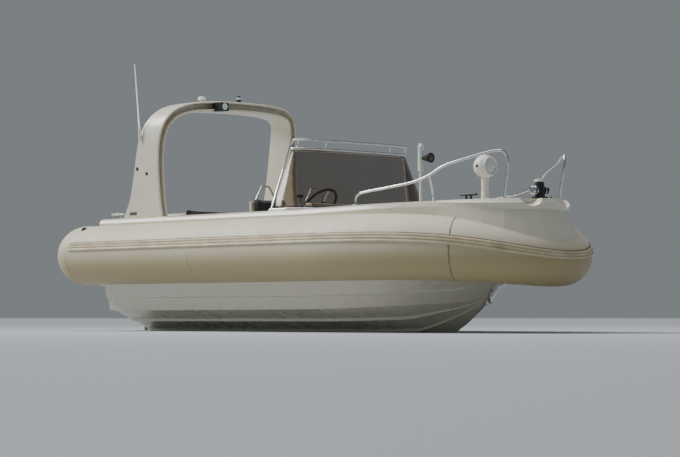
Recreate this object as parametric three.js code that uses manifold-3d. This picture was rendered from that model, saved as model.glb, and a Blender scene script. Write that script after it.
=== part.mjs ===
// Rigid inflatable boat, about 6.2 m long: a deep-V glass-fibre hull with an inflated collar, a moulded deck and
// cockpit, a wrap-around windscreen, an equipment arch, bow rails and a stern drive.
// Units are millimetres. +X points to the bow, +Y to port, +Z up. Heights below are above the keel's straight run;
// the finished group is set down by DRAFT, so that the origin lies at the running waterline amidships.
import * as THREE from 'three';
import { mergeVertices } from 'three/addons/utils/BufferGeometryUtils.js';
import Module from 'manifold-3d';

const wasm = await Module();
wasm.setup();

// Driving dimensions
const DRAFT = 120;
const SEAT_GAP = 0.4; // between pieces that rest on each other
const PORT = 1;
const STARBOARD = -1;
const SIDES = [['port', PORT], ['starboard', STARBOARD]];

const TUBE = {
  radius: 300, halfSpan: 1000, height: 890, facets: 24,
  endStart: -2870, endLength: 330,
  bendStart: 700, tipX: 2640, tipRadius: 215, tipHeight: 745,
  seam: 0.54,
};
const DECK = { edgeZ: 1236, topZ: 1262, soleZ: 530, soleUnder: 490, aft: -2695, cockpitFront: 360, halfInside: 668 };
const HULL = { transomX: -2750, innerDeckZ: 485, bowDeckZ: 800, upstandY: 725, upstandZ: 760 };

const FINISH = {
  gelcoat: { color: 0xddd6c2, roughness: 0.25, metalness: 0 },
  fabric: { color: 0xcfc4a6, roughness: 0.6, metalness: 0 },
  rubber: { color: 0xb9ab8c, roughness: 0.8, metalness: 0 },
  stainless: { color: 0xc9ced2, roughness: 0.15, metalness: 1 },
  acrylic: { color: 0x4b4a46, roughness: 0.05, metalness: 0 },
  upholstery: { color: 0xe2dac6, roughness: 0.6, metalness: 0 },
  darkVinyl: { color: 0x2c2b2a, roughness: 0.6, metalness: 0 },
  castGrey: { color: 0x3d4246, roughness: 0.4, metalness: 0.3 },
  bronze: { color: 0x8d8f90, roughness: 0.3, metalness: 1 },
  blackPlastic: { color: 0x1b1c1d, roughness: 0.4, metalness: 0 },
  whitePlastic: { color: 0xe9ebec, roughness: 0.3, metalness: 0 },
  castIron: { color: 0x54585a, roughness: 0.6, metalness: 0.4 },
};

const boat = new THREE.Group();

// Adds a named piece to the boat, in the finish named.
function add(name, geometry, finish) {
  const mesh = new THREE.Mesh(geometry, new THREE.MeshStandardMaterial(FINISH[finish]));
  mesh.name = name;
  boat.add(mesh);
  return mesh;
}

// Geometry helpers

const mix = (a, b, share) => a + (b - a) * share;
const spread = (from, to, count) => Array.from({ length: count }, (_, i) => mix(from, to, i / (count - 1)));

// A closed geometry from points and triangles, turned to face outwards.
function closedGeometry(points, triangles) {
  let sixVolumes = 0;
  for (const [a, b, c] of triangles) {
    sixVolumes += points[a].dot(new THREE.Vector3().crossVectors(points[b], points[c]));
  }
  const facingOut = sixVolumes < 0 ? triangles.map(([a, b, c]) => [a, c, b]) : triangles;
  const geometry = new THREE.BufferGeometry().setFromPoints(points);
  geometry.setIndex(facingOut.flat());
  return geometry;
}

// Joins rings of equally many points into a closed skin. flatten gives the 2-D point by which an end ring is capped.
function loft(rings, flatten) {
  const count = rings[0].length;
  const triangles = [];
  for (let r = 0; r + 1 < rings.length; r++) {
    for (let i = 0; i < count; i++) {
      const j = (i + 1) % count;
      const [a, b] = [r * count + i, r * count + j];
      triangles.push([a, b, b + count], [a, b + count, a + count]);
    }
  }
  const twiceArea = ([p, q, r]) => (q.x - p.x) * (r.y - p.y) - (r.x - p.x) * (q.y - p.y);
  const addCap = (ring, start, alongRing) => {
    const outline = ring.map(flatten);
    const faces = THREE.ShapeUtils.triangulateShape(outline, []);
    const areas = faces.map((face) => twiceArea(face.map((k) => outline[k])));
    const largest = areas.reduce((a, b) => (Math.abs(a) > Math.abs(b) ? a : b));
    const sameTurn = largest > 0 === THREE.ShapeUtils.area(outline) > 0;
    for (const face of faces) {
      const [a, b, c] = face.map((k) => start + k);
      triangles.push(sameTurn === alongRing ? [a, b, c] : [a, c, b]);
    }
  };
  addCap(rings[0], 0, false);
  addCap(rings.at(-1), (rings.length - 1) * count, true);
  return closedGeometry(rings.flat(), triangles);
}
// As loft, for rings whose ends are convex and may face anywhere.
function loftRound(rings) {
  const count = rings[0].length;
  const triangles = [];
  for (let r = 0; r + 1 < rings.length; r++) {
    for (let i = 0; i < count; i++) {
      const j = (i + 1) % count;
      const [a, b] = [r * count + i, r * count + j];
      triangles.push([a, b, b + count], [a, b + count, a + count]);
    }
  }
  const last = (rings.length - 1) * count;
  for (let i = 1; i + 1 < count; i++) triangles.push([0, i + 1, i], [last, last + i, last + i + 1]);
  return closedGeometry(rings.flat(), triangles);
}
const fromAhead = (p) => new THREE.Vector2(p.y, p.z);
const fromAbove = (p) => new THREE.Vector2(p.x, p.y);
const fromTheSide = (p) => new THREE.Vector2(p.x, p.z);

function toSolid(geometry) {
  const bare = geometry.index ? geometry.toNonIndexed() : geometry.clone();
  for (const attribute of ['normal', 'uv']) bare.deleteAttribute(attribute);
  const merged = mergeVertices(bare, 1e-3);
  return new wasm.Manifold(new wasm.Mesh({
    numProp: 3,
    vertProperties: new Float32Array(merged.attributes.position.array),
    triVerts: new Uint32Array(merged.index.array),
  }));
}

function toGeometry(solid) {
  const mesh = solid.getMesh();
  const geometry = new THREE.BufferGeometry();
  geometry.setAttribute('position', new THREE.BufferAttribute(new Float32Array(mesh.vertProperties), 3));
  geometry.setIndex(new THREE.BufferAttribute(new Uint32Array(mesh.triVerts), 1));
  return geometry;
}

const union = (...geometries) => toGeometry(geometries.map(toSolid).reduce((a, b) => a.add(b)));
const cut = (geometry, ...tools) => toGeometry(tools.map(toSolid).reduce((a, b) => a.subtract(b), toSolid(geometry)));

// A box between two corners.
function block([x0, y0, z0], [x1, y1, z1]) {
  return new THREE.BoxGeometry(x1 - x0, y1 - y0, z1 - z0).translate((x0 + x1) / 2, (y0 + y1) / 2, (z0 + z1) / 2);
}

// A profile given as X, Z points, extruded across the boat from y0 to y1.
function acrossProfile(profile, y0, y1) {
  const rings = [y0, y1].map((y) => profile.map(([x, z]) => new THREE.Vector3(x, y, z)));
  return loft(rings, fromTheSide);
}

// An outline given as X, Y points, raised from z0 to z1.
function slab(outline, z0, z1) {
  const rings = [z0, z1].map((z) => outline.map(([x, y]) => new THREE.Vector3(x, y, z)));
  return loft(rings, fromAbove);
}

// A rectangle with its corners cut, as X, Y points.
function chamferedRectangle(x0, y0, x1, y1, c) {
  return [[x0 + c, y0], [x1 - c, y0], [x1, y0 + c], [x1, y1 - c], [x1 - c, y1], [x0 + c, y1], [x0, y1 - c], [x0, y0 + c]];
}

// A cylinder from one point to another, which may taper.
function cylinder(from, to, radius, sides = 16, endRadius = radius) {
  const start = new THREE.Vector3(...from);
  const along = new THREE.Vector3(...to).sub(start);
  const geometry = new THREE.CylinderGeometry(endRadius, radius, along.length(), sides);
  geometry.translate(0, along.length() / 2, 0);
  const turn = new THREE.Quaternion().setFromUnitVectors(new THREE.Vector3(0, 1, 0), along.normalize());
  return geometry.applyQuaternion(turn).translate(start.x, start.y, start.z);
}

// A bent pipe through the points.
function pipe(points, radius, steps, sides = 8) {
  const path = new THREE.CatmullRomCurve3(points.map((p) => new THREE.Vector3(...p)), false, 'centripetal');
  const section = new THREE.Shape(
    Array.from({ length: sides }, (_, k) => {
      const angle = (2 * Math.PI * k) / sides;
      return new THREE.Vector2(radius * Math.cos(angle), radius * Math.sin(angle));
    }),
  );
  return new THREE.ExtrudeGeometry(section, { steps, extrudePath: path, bevelEnabled: false });
}

// A rod through the points, straight between them and mitred at each.
function rod(points, radius, sides = 8) {
  const places = points.map((p) => new THREE.Vector3(...p));
  const ways = places.slice(1).map((p, i) => p.clone().sub(places[i]).normalize());
  const headings = places.map((_, i) => {
    const before = ways[Math.max(0, i - 1)];
    const after = ways[Math.min(ways.length - 1, i)];
    return before.clone().add(after).normalize();
  });
  const turn = new THREE.Quaternion();
  const side = new THREE.Vector3(0, 0, 1).cross(headings[0]);
  if (side.length() < 0.1) side.set(1, 0, 0);
  side.normalize();
  const rings = places.map((place, i) => {
    if (i > 0) side.applyQuaternion(turn.setFromUnitVectors(headings[i - 1], headings[i]));
    const up = new THREE.Vector3().crossVectors(headings[i], side);
    return spread(0, 2 * Math.PI * (1 - 1 / sides), sides).map((angle) => place.clone()
      .addScaledVector(side, radius * Math.cos(angle))
      .addScaledVector(up, radius * Math.sin(angle)));
  });
  return loftRound(rings);
}

// A body of revolution about the +X axis through a point; profile holds distance aft to fore and radius.
function turnedAlongX(profile, [x, y, z], sides = 16) {
  const lathe = new THREE.LatheGeometry(profile.map(([along, radius]) => new THREE.Vector2(radius, along)), sides);
  return lathe.rotateZ(-Math.PI / 2).translate(x, y, z);
}

const mirrored = (geometry) => {
  const copy = geometry.clone().scale(1, -1, 1);
  const bare = copy.index ? copy.toNonIndexed() : copy;
  for (const attribute of ['normal', 'uv']) bare.deleteAttribute(attribute);
  const merged = mergeVertices(bare, 1e-3);
  const index = merged.index.array;
  for (let i = 0; i < index.length; i += 3) [index[i + 1], index[i + 2]] = [index[i + 2], index[i + 1]];
  return merged;
};
const onSide = (geometry, side) => (side === PORT ? geometry : mirrored(geometry));

const smoothStep = (x) => {
  const t = Math.min(1, Math.max(0, x));
  return t * t * (3 - 2 * t);
};

// The inflated collar

// The collar's centre line round the bow, on the port side: t is 0 where the bend starts and 1 at the tip.
const bowCurve = new THREE.CubicBezierCurve(
  new THREE.Vector2(TUBE.bendStart, TUBE.halfSpan),
  new THREE.Vector2(1620, TUBE.halfSpan),
  new THREE.Vector2(TUBE.tipX, 500),
  new THREE.Vector2(TUBE.tipX, 0),
);
function collarAt(t) {
  const taper = Math.pow(smoothStep(t), 2.5);
  const place = bowCurve.getPoint(t);
  const heading = bowCurve.getTangent(t);
  return {
    x: place.x,
    y: place.y,
    z: mix(TUBE.height, TUBE.tipHeight, taper),
    radius: mix(TUBE.radius, TUBE.tipRadius, taper),
    outX: -heading.y,
    outY: heading.x,
  };
}
function straightAt(x, share = 1) {
  return { x, y: TUBE.halfSpan, z: TUBE.height, radius: TUBE.radius * share, outX: 0, outY: 1 };
}
const otherSide = (s) => ({ ...s, y: -s.y, outY: -s.outY });

const roundEnd = [80, 62, 44, 26, 10].map((degrees) => {
  const angle = (degrees * Math.PI) / 180;
  return straightAt(TUBE.endStart - TUBE.endLength * Math.sin(angle), Math.cos(angle));
});
const sideStations = [
  ...roundEnd,
  ...[TUBE.endStart, -1000, TUBE.bendStart].map((x) => straightAt(x)),
  ...spread(0, TUBE.seam, 6).slice(1).map(collarAt),
];
const halfBowStations = spread(TUBE.seam, 1, 7).map(collarAt);
const bowStations = [...halfBowStations, ...halfBowStations.slice(0, -1).reverse().map(otherSide)];

// A point on the collar's skin at an angle above the outboard direction, lifted off the skin by extra.
function skinPoint(station, degrees, extra, radius = station.radius) {
  const angle = (degrees * Math.PI) / 180;
  const out = (radius + extra) * Math.cos(angle);
  return new THREE.Vector3(
    station.x + station.outX * out, station.y + station.outY * out, station.z + (radius + extra) * Math.sin(angle),
  );
}
function collarSkin(stations, extra = 0) {
  const step = 360 / TUBE.facets;
  return loftRound(stations.map((s) => spread(0, 360 - step, TUBE.facets).map((a) => skinPoint(s, a, extra))));
}

// The two sides stop SEAT_GAP short of the bow chamber at their seams.
const beforeSeam = sideStations.with(-1, collarAt(TUBE.seam - 0.0004));
const portTube = collarSkin(beforeSeam);
add('tube_port', portTube, 'fabric');
add('tube_starboard', mirrored(portTube), 'fabric');
add('tube_bow', collarSkin(bowStations), 'fabric');

// The whole collar, a little swollen, is the tool that shapes what is bonded to it.
const wholeSide = [...sideStations, ...halfBowStations.slice(1)];
const collarTool = collarSkin([...wholeSide, ...wholeSide.slice(0, -1).reverse().map(otherSide)], 2 * SEAT_GAP);

// The rubbing strake follows the collar's outer face from end to end, in one piece.
const STRAKE = { low: 7.5, high: 22.5, thick: 20, startX: -2800 };
const halfStep = Math.cos((STRAKE.low * Math.PI) / 180);
function strakeRing(s) {
  const onFacet = s.radius * halfStep;
  return [
    skinPoint(s, STRAKE.low, 2 * SEAT_GAP, onFacet),
    skinPoint(s, STRAKE.low + 1.5, STRAKE.thick, onFacet),
    skinPoint(s, STRAKE.high - 1.5, STRAKE.thick, onFacet),
    skinPoint(s, STRAKE.high, 2 * SEAT_GAP, onFacet),
    skinPoint(s, (STRAKE.low + STRAKE.high) / 2, 2 * SEAT_GAP),
  ];
}
const halfStrake = [straightAt(STRAKE.startX), ...wholeSide.slice(roundEnd.length + 1)];
const strakeStations = [...halfStrake, ...halfStrake.slice(0, -1).reverse().map(otherSide)];
add('rub_strake', loftRound(strakeStations.map(strakeRing)), 'rubber');

// The hull

// Half sections of the hull, from the transom to the stem head.
const HULL_SECTIONS = [
  // x, keelZ, chineY, chineZ, stepY, stepZ, topY, topZ, insideZ, strake width
  [-2750, 0, 800, 335, 850, 470, 885, 640, 590, 45],
  [-2701, 0, 800, 335, 850, 470, 885, 640, 590, 45],
  [-2700, 0, 800, 335, 850, 470, 885, 640, 485, 45],
  [-800, 0, 800, 335, 850, 470, 885, 640, 485, 45],
  [360, 0, 792, 341, 844, 472, 881, 640, 485, 45],
  [368, 0, 792, 341, 844, 472, 881, 640, 800, 45],
  [700, 0, 776, 348, 832, 475, 870, 640, 800, 43],
  [1000, 0, 716, 358, 782, 480, 845, 640, 800, 40],
  [1213, 0, 620, 368, 690, 484, 805, 643, 800, 34],
  [1320, 38, 548, 374, 622, 487, 770, 648, 800, 30],
  [1433, 99, 460, 382, 538, 491, 730, 655, 800, 24],
  [1530, 162, 380, 388, 458, 496, 692, 662, 800, 18],
  [1613, 218, 305, 394, 385, 500, 675, 669, 800, 12],
  [1700, 285, 230, 402, 312, 506, 640, 678, 800, 7],
  [1785, 352, 118, 413, 226, 520, 605, 688, 800, 3],
  [1850, 440, 44, 455, 172, 556, 560, 700, 800, 2],
  [1907, 545, 26, 554, 136, 616, 505, 713, 800, 1],
  [1955, 650, 22, 657, 112, 694, 475, 728, 800, 1],
  [1990, 712, 26, 718, 100, 738, 452, 744, 800, 1],
  [2080, 734, 42, 742, 95, 755, 405, 764, 800, 1],
  [2260, 750, 32, 757, 80, 768, 325, 778, 800, 1],
  [2480, 760, 22, 767, 55, 777, 200, 787, 800, 1],
];
const CHINE_FLAT = 55;
const STRAKE_PLACES = [0.36, 0.66]; // shares of the way from the keel to the chine
function hullRing([x, keelZ, chineY, chineZ, stepY, stepZ, topY, topZ, insideZ, strakeWidth]) {
  const flat = Math.min(CHINE_FLAT, chineY / 3);
  const bottomY = chineY - flat;
  const onBottom = (y) => mix(keelZ, chineZ, y / bottomY);
  const half = [[0, keelZ]];
  for (const place of STRAKE_PLACES) {
    const y = bottomY * place;
    half.push([y, onBottom(y)], [y + strakeWidth, onBottom(y) - 4], [y + strakeWidth + 1, onBottom(y + strakeWidth + 1)]);
  }
  const lip = Math.min(22, chineY / 4);
  half.push([bottomY, chineZ], [chineY, chineZ - lip / 3], [chineY + lip / 2, chineZ + lip]);
  half.push([stepY - lip, stepZ - lip], [stepY, stepZ - lip / 2], [stepY + lip / 3, stepZ + lip / 2]);
  const decked = insideZ === HULL.bowDeckZ;
  const innerY = Math.min(HULL.upstandY, topY - 30);
  half.push([topY, topZ], [topY - 15, decked ? insideZ - 4 : HULL.upstandZ]);
  half.push([innerY, decked ? insideZ - 1 : HULL.upstandZ], [innerY - 1, insideZ]);
  const ring = half.map(([y, z]) => new THREE.Vector3(x, y, z));
  const back = half.slice(1).reverse().map(([y, z]) => new THREE.Vector3(x, -y, z));
  return [...ring, ...back];
}
const hullBody = loft(HULL_SECTIONS.map(hullRing), fromAhead);
add('hull', cut(hullBody, collarTool), 'gelcoat');


// The deck moulding aft: sole, sides, side decks and the wall towards the swim platform
const COCKPIT_HALF_SECTION = [
  // y, z
  [723.3, 485.6], [723.3, 760.6], [870, 760.6], [984, 1180], [990, 1212], [976, 1244], [940, 1262],
  [684, 1262], [668, 1248], [660, 540], [650, 530],
];
const cockpitRing = (x) => [
  ...COCKPIT_HALF_SECTION.map(([y, z]) => new THREE.Vector3(x, y, z)),
  ...COCKPIT_HALF_SECTION.toReversed().map(([y, z]) => new THREE.Vector3(x, -y, z)),
];
const cockpitSides = loft([cockpitRing(DECK.aft), cockpitRing(DECK.cockpitFront)], fromAhead);
const aftWall = block([DECK.aft, -700, 500], [DECK.aft + 35, 700, 1200]);
add('cockpit', cut(union(cockpitSides, aftWall), collarTool), 'gelcoat');

// The foredeck, rising a little to the blunt nose, whose flank comes down over the collar to the strake
const DECK_RISE = 0.02;
const foredeckStart = DECK.cockpitFront + SEAT_GAP;
const deckZ = (x) => DECK.topZ + DECK_RISE * Math.max(0, x - foredeckStart);
const foredeckStations = [0.02, 0.13, 0.2, 0.28, 0.37, 0.46, 0.55, 0.64, 0.73, 0.82, 0.91].map(collarAt);
const noseStation = collarAt(1);
const noseShare = (s) => smoothStep((s.x - 1850) / (2460 - 1850));
function foredeckRing(offset, height) {
  const start = { x: foredeckStart, y: TUBE.halfSpan, z: TUBE.height, radius: TUBE.radius, outX: 0, outY: 1 };
  const place = (s) => {
    const x = s.x + s.outX * offset(s);
    return new THREE.Vector3(x, s.y + s.outY * offset(s), height(s, x));
  };
  const half = [start, ...foredeckStations].map(place);
  const back = half.toReversed().map((p) => new THREE.Vector3(p.x, -p.y, p.z));
  return [...half, place(noseStation), ...back];
}
const foredeckRings = [
  foredeckRing(() => -110, () => 800.6),
  foredeckRing((s) => mix(-22, 135, noseShare(s)), (s) => s.z + mix(s.radius - 30, 90, noseShare(s))),
  foredeckRing((s) => mix(-10, 38, noseShare(s)), (s, x) => deckZ(x) - mix(50, 100, noseShare(s))),
  foredeckRing((s) => mix(-24, 56, noseShare(s)), (s, x) => deckZ(x) - mix(18, 42, noseShare(s))),
  foredeckRing((s) => mix(-60, 24, noseShare(s)), (s, x) => deckZ(x)),
];
const CABIN_HATCH = { x0: 1150, x1: 1650, half: 250, floor: 900 };
const ANCHOR_LID = { x0: 2080, x1: 2380, half: 150, floor: 960 };
const foredeckBody = loft(foredeckRings, fromAbove);

// A slab laid on the foredeck: x along, y across, and heights measured from the deck's surface.
function onForedeck(x0, x1, half, low, high, chamfer = 20) {
  const outline = chamferedRectangle(x0, -half, x1, half, chamfer);
  const rings = [low, high].map((h) => outline.map(([x, y]) => new THREE.Vector3(x, y, deckZ(x) + h)));
  return loft(rings, fromAbove);
}
// Cuts the foot of a fitting to the deck's surface, level aft and rising forward.
const deckTools = [
  block([-3300, -1400, 1000], [foredeckStart + 1, 1400, DECK.topZ + SEAT_GAP]),
  onForedeck(foredeckStart, 3400, 1400, -300, SEAT_GAP),
];
const footed = (geometry) => cut(geometry, ...deckTools);

// A fairlead is a round notch that deepens outwards across the nose's rim.
const FAIRLEAD = { t: 0.86, inside: -60, outside: 260, rise: 66, drop: 80, radius: 112 };
function fairlead(side) {
  const s = collarAt(FAIRLEAD.t);
  const at = (offset, height) => {
    const x = s.x + s.outX * offset;
    return [x, side * (s.y + s.outY * offset), deckZ(x) + height];
  };
  return cylinder(at(FAIRLEAD.inside, FAIRLEAD.rise), at(FAIRLEAD.outside, FAIRLEAD.rise - FAIRLEAD.drop), FAIRLEAD.radius, 24);
}
add('foredeck', cut(
  foredeckBody,
  collarTool,
  block([CABIN_HATCH.x0 + 40, -CABIN_HATCH.half + 40, CABIN_HATCH.floor], [CABIN_HATCH.x1 - 40, CABIN_HATCH.half - 40, 1400]),
  block([ANCHOR_LID.x0 + 20, -ANCHOR_LID.half + 20, ANCHOR_LID.floor], [ANCHOR_LID.x1 - 20, ANCHOR_LID.half - 20, 1400]),
  onForedeck(ANCHOR_LID.x0 - 6, ANCHOR_LID.x1 + 10, ANCHOR_LID.half + 6, -24, 60),
  fairlead(PORT), fairlead(STARBOARD),
), 'gelcoat');
add('cabin_hatch', onForedeck(CABIN_HATCH.x0, CABIN_HATCH.x1, CABIN_HATCH.half, SEAT_GAP, 32, 45), 'acrylic');
add('anchor_locker_lid', onForedeck(ANCHOR_LID.x0, ANCHOR_LID.x1, ANCHOR_LID.half, -24 + SEAT_GAP, 2), 'gelcoat');

// The swim platform between the collar's ends
const PLATFORM = { front: -2697, aft: -3160, low: 590.4, high: 640, half: 680 };
add('swim_platform', slab(
  chamferedRectangle(PLATFORM.aft, -PLATFORM.half, PLATFORM.front, PLATFORM.half, 60), PLATFORM.low, PLATFORM.high,
), 'gelcoat');

// The aft bench and the engine bay behind it
const BENCH = { front: -1330, seatZ: 880, back: -1790, wall: 30, backTop: 1200, half: 645 };
add('aft_bench', acrossProfile([
  [BENCH.front, 530.4], [BENCH.front, BENCH.seatZ], [BENCH.back + BENCH.wall, BENCH.seatZ],
  [BENCH.back + BENCH.wall, BENCH.backTop], [BENCH.back, BENCH.backTop], [BENCH.back, BENCH.seatZ - BENCH.wall],
  [BENCH.front - BENCH.wall, BENCH.seatZ - BENCH.wall], [BENCH.front - BENCH.wall, 530.4],
], -BENCH.half, BENCH.half), 'gelcoat');
add('bench_cushion', block([-1640, -640, 880.5], [-1340, 640, 975]), 'upholstery');
add('bench_backrest', acrossProfile([
  [-1759.6, 976], [-1759.6, 1300], [-1740, 1350], [-1690, 1350], [-1665, 1300], [-1645, 976],
], -640, 640), 'darkVinyl');

const HATCH = { hingeX: -2645, front: -1770, low: 1200.4, high: 1236, half: 640 };
add('engine_hatch', slab(
  chamferedRectangle(HATCH.hingeX, -HATCH.half, HATCH.front, HATCH.half, 30), HATCH.low, HATCH.high,
), 'gelcoat');
add('sunpad', slab(
  chamferedRectangle(HATCH.hingeX + 30, -620, HATCH.front - 10, 620, 40), HATCH.high + SEAT_GAP, HATCH.high + 75,
), 'upholstery');
add('engine', slab(chamferedRectangle(-2560, -270, -1900, 270, 60), 530.5, 1120), 'castIron');

// The dashboard under the windscreen
const DASH_PROFILE = [
  // x, z
  [360, 530.4], [360, 1262], [235, 1262], [190, 1330], [100, 1345], [-40, 1190], [-40, 1110], [140, 1010], [320, 985], [320, 530.4],
];
add('dashboard', acrossProfile(DASH_PROFILE, -645, 645), 'gelcoat');

// The steering wheel, on a shaft square to the dashboard's sloping face
const WHEEL = { x: -35, y: -330, z: 1350, radius: 170, grip: 14, tilt: Math.atan2(155, 140) };
const wheelAxis = new THREE.Vector3(-Math.sin(WHEEL.tilt), 0, Math.cos(WHEEL.tilt));
const alongWheel = (distance) => [WHEEL.x + wheelAxis.x * distance, WHEEL.y, WHEEL.z + wheelAxis.z * distance];
function wheelPlane(geometry) {
  const turn = new THREE.Quaternion().setFromUnitVectors(new THREE.Vector3(0, 0, 1), wheelAxis);
  return geometry.applyQuaternion(turn).translate(WHEEL.x, WHEEL.y, WHEEL.z);
}
const spokes = [90, 210, 330].map((degrees) => {
  const angle = (degrees * Math.PI) / 180;
  const tip = [WHEEL.radius * Math.cos(angle), WHEEL.radius * Math.sin(angle), 0];
  return wheelPlane(cylinder([0, 0, -20], tip, 9, 8));
});
add('steering_wheel', union(
  wheelPlane(new THREE.TorusGeometry(WHEEL.radius, WHEEL.grip, 8, 28)),
  cylinder(alongWheel(-103), alongWheel(0), 28, 16),
  ...spokes,
), 'blackPlastic');

// The windscreen: a flat front across the boat, rounded corners and short side panes that end at a strut
const SCREEN = { thick: 8, topZ: 1840, clearance: 31 };
const SCREEN_HALF = [
  // base x, base y, top x, top y
  [-60, 905, 20, 735],
  [60, 903, 26, 735],
  [150, 885, 38, 730],
  [222, 842, 58, 712],
  [278, 765, 84, 680],
  [322, 640, 112, 610],
  [358, 430, 136, 420],
  [374, 210, 148, 210],
  [379, 0, 152, 0],
];
const screenStations = [...SCREEN_HALF, ...SCREEN_HALF.slice(0, -1).reverse().map(([a, b, c, d]) => [a, -b, c, -d])];
const screenBaseZ = (x) => deckZ(x) + SCREEN.clearance;
const screenPoints = screenStations.map(([bx, by, tx, ty]) => ({
  base: new THREE.Vector3(bx, by, screenBaseZ(bx)), top: new THREE.Vector3(tx, ty, SCREEN.topZ),
}));
function screenRing({ base, top }, i) {
  const before = screenPoints[Math.max(0, i - 1)];
  const after = screenPoints[Math.min(screenPoints.length - 1, i + 1)];
  const along = after.base.clone().sub(before.base).add(after.top).sub(before.top);
  const outward = new THREE.Vector3().crossVectors(along, top.clone().sub(base)).normalize();
  const inner = outward.clone().multiplyScalar(SCREEN.thick);
  return [base, top, top.clone().add(inner), base.clone().add(inner)];
}
add('windscreen', loftRound(screenPoints.map(screenRing)), 'acrylic');
const RAIL = 13;
const head = screenPoints.map((p) => [p.top.x - 5, p.top.y, p.top.z + RAIL + 0.5]);
const headEnd = (side) => [-12, side * 742, SCREEN.topZ + RAIL + 0.5];
const topRail = rod([headEnd(PORT), ...head, headEnd(STARBOARD)], RAIL);
const sill = screenPoints.map((p) => [p.base.x, p.base.y, p.base.z - 18.8]);
const sillEnd = (side) => [-115, side * 905, DECK.topZ + 12.2];
const baseRail = rod([sillEnd(PORT), ...sill, sillEnd(STARBOARD)], RAIL - 1.5);

// The side struts run on above the glass as a handrail round the screen's top, on short posts.
const HANDRAIL = { lift: 82, ahead: 12, radius: 12 };
const aboveGlass = screenPoints.slice(1, -1).map((p) => [
  p.top.x + HANDRAIL.ahead, p.top.y, p.top.z + RAIL + HANDRAIL.lift,
]);
const strutFoot = (side) => [-100, side * 905, DECK.topZ - 4];
const strutTop = (side) => [-5, side * 734, SCREEN.topZ + 55];
const handrail = rod([strutFoot(PORT), strutTop(PORT), ...aboveGlass, strutTop(STARBOARD), strutFoot(STARBOARD)], HANDRAIL.radius);
const posts = [3, 6, 10, 13].map((i) => {
  const { x, y, z } = screenPoints[i].top;
  return cylinder([x - 5, y, z + RAIL], [x + HANDRAIL.ahead, y, z + RAIL + HANDRAIL.lift], 7, 8);
});
add('windscreen_frame', footed(union(topRail, baseRail, handrail, ...posts)), 'stainless');

// The equipment arch, in one piece from deck to deck
const ARCH_HALF = [
  // y, z, middle x, width, thickness
  [888, 1262.6, -2055, 650, 84],
  [888, 1320, -2040, 590, 84],
  [887, 1400, -2028, 530, 84],
  [886, 1520, -2015, 465, 84],
  [884, 1760, -2005, 390, 86],
  [880, 1980, -1988, 356, 88],
  [866, 2110, -1962, 340, 90],
  [832, 2225, -1915, 325, 94],
  [765, 2312, -1855, 312, 98],
  [655, 2362, -1790, 304, 100],
  [480, 2384, -1730, 300, 100],
  [240, 2391, -1685, 300, 100],
  [0, 2393, -1670, 300, 100],
];
// Its section is a channel open to the front, between an outer and an inner flange.
const CHANNEL = { depth: 110, flange: 20, round: 8, lead: 6 };
const archStations = [...ARCH_HALF, ...ARCH_HALF.slice(0, -1).reverse().map(([y, ...rest]) => [-y, ...rest])];
function channelSection(halfWidth, halfThickness, swell) {
  const { depth, flange, round, lead } = CHANNEL;
  const half = [
    [halfWidth - depth - swell, halfThickness - flange - lead - swell * 2],
    [halfWidth, halfThickness - flange - swell * 2],
    [halfWidth, halfThickness - round],
    [halfWidth - round, halfThickness],
    [-halfWidth + 2 * round, halfThickness],
    [-halfWidth, halfThickness - 2 * round],
  ];
  return [...half, ...half.toReversed().map(([along, out]) => [along, -out])];
}
function archRing([y, z, x, width, thickness], i, swell) {
  const [y0, z0] = archStations[Math.max(0, i - 1)];
  const [y1, z1] = archStations[Math.min(archStations.length - 1, i + 1)];
  const length = Math.hypot(y1 - y0, z1 - z0);
  const isFoot = i === 0 || i === archStations.length - 1;
  const [ny, nz] = isFoot ? [Math.sign(y) , 0] : [(z1 - z0) / length, -(y1 - y0) / length];
  return channelSection(width / 2 + swell, thickness / 2 + swell, swell)
    .map(([along, out]) => new THREE.Vector3(x + along, y + ny * out, z + nz * out));
}
const archBody = (swell) => loft(archStations.map((station, i) => archRing(station, i, swell)), fromAbove);
add('arch', archBody(0), 'gelcoat');

// What stands on the arch: a whip antenna on its starboard leg, a round light, a lamp in the channel and a receiver
const onArch = (...geometries) => cut(union(...geometries), archBody(SEAT_GAP));
add('antenna', onArch(
  cylinder([-2085, -870, 2085], [-2085, -938, 2085], 18, 12),
  cylinder([-2083, -935, 2035], [-2099, -935, 2170], 15, 12),
  cylinder([-2098, -935, 2160], [-2180, -935, 2820], 9, 8, 4),
), 'whitePlastic');
add('all_round_light', onArch(
  cylinder([-1680, 20, 2420], [-1680, 20, 2480], 26, 16),
  cylinder([-1680, 20, 2470], [-1680, 20, 2520], 19, 16),
), 'blackPlastic');
add('arch_lamp', onArch(block([-1600, -395, 2333], [-1455, -300, 2419])), 'blackPlastic');
add('satellite_receiver', onArch(
  cylinder([-1760, -400, 2415], [-1760, -400, 2470], 15, 12),
  cylinder([-1760, -400, 2460], [-1760, -400, 2494], 46, 18, 32),
), 'whitePlastic');

// Bow rails: each follows the deck's edge, low aft, and steps up to the front
const RAIL_LINE = [
  // x, y, height above the deck
  [1048, 878, -12],
  [1050, 878, 70],
  [1085, 876, 98],
  [1450, 838, 140],
  [1700, 768, 178],
  [1840, 722, 228],
  [1960, 674, 300],
  [2200, 566, 370],
  [2375, 446, 418],
  [2440, 396, 412],
  [2462, 372, 345],
  [2405, 355, -12],
];
const onRail = ([x, y, height]) => [x, y, deckZ(x) + height];
function bowRail() {
  const [x, y, height] = RAIL_LINE[5];
  return footed(union(
    pipe(RAIL_LINE.map(onRail), 12.5, 66),
    cylinder([x, y - 66, deckZ(x) - 10], [x, y, deckZ(x) + height], 10, 10),
  ));
}
for (const [name, side] of SIDES) add(`bow_rail_${name}`, onSide(bowRail(), side), 'stainless');

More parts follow.
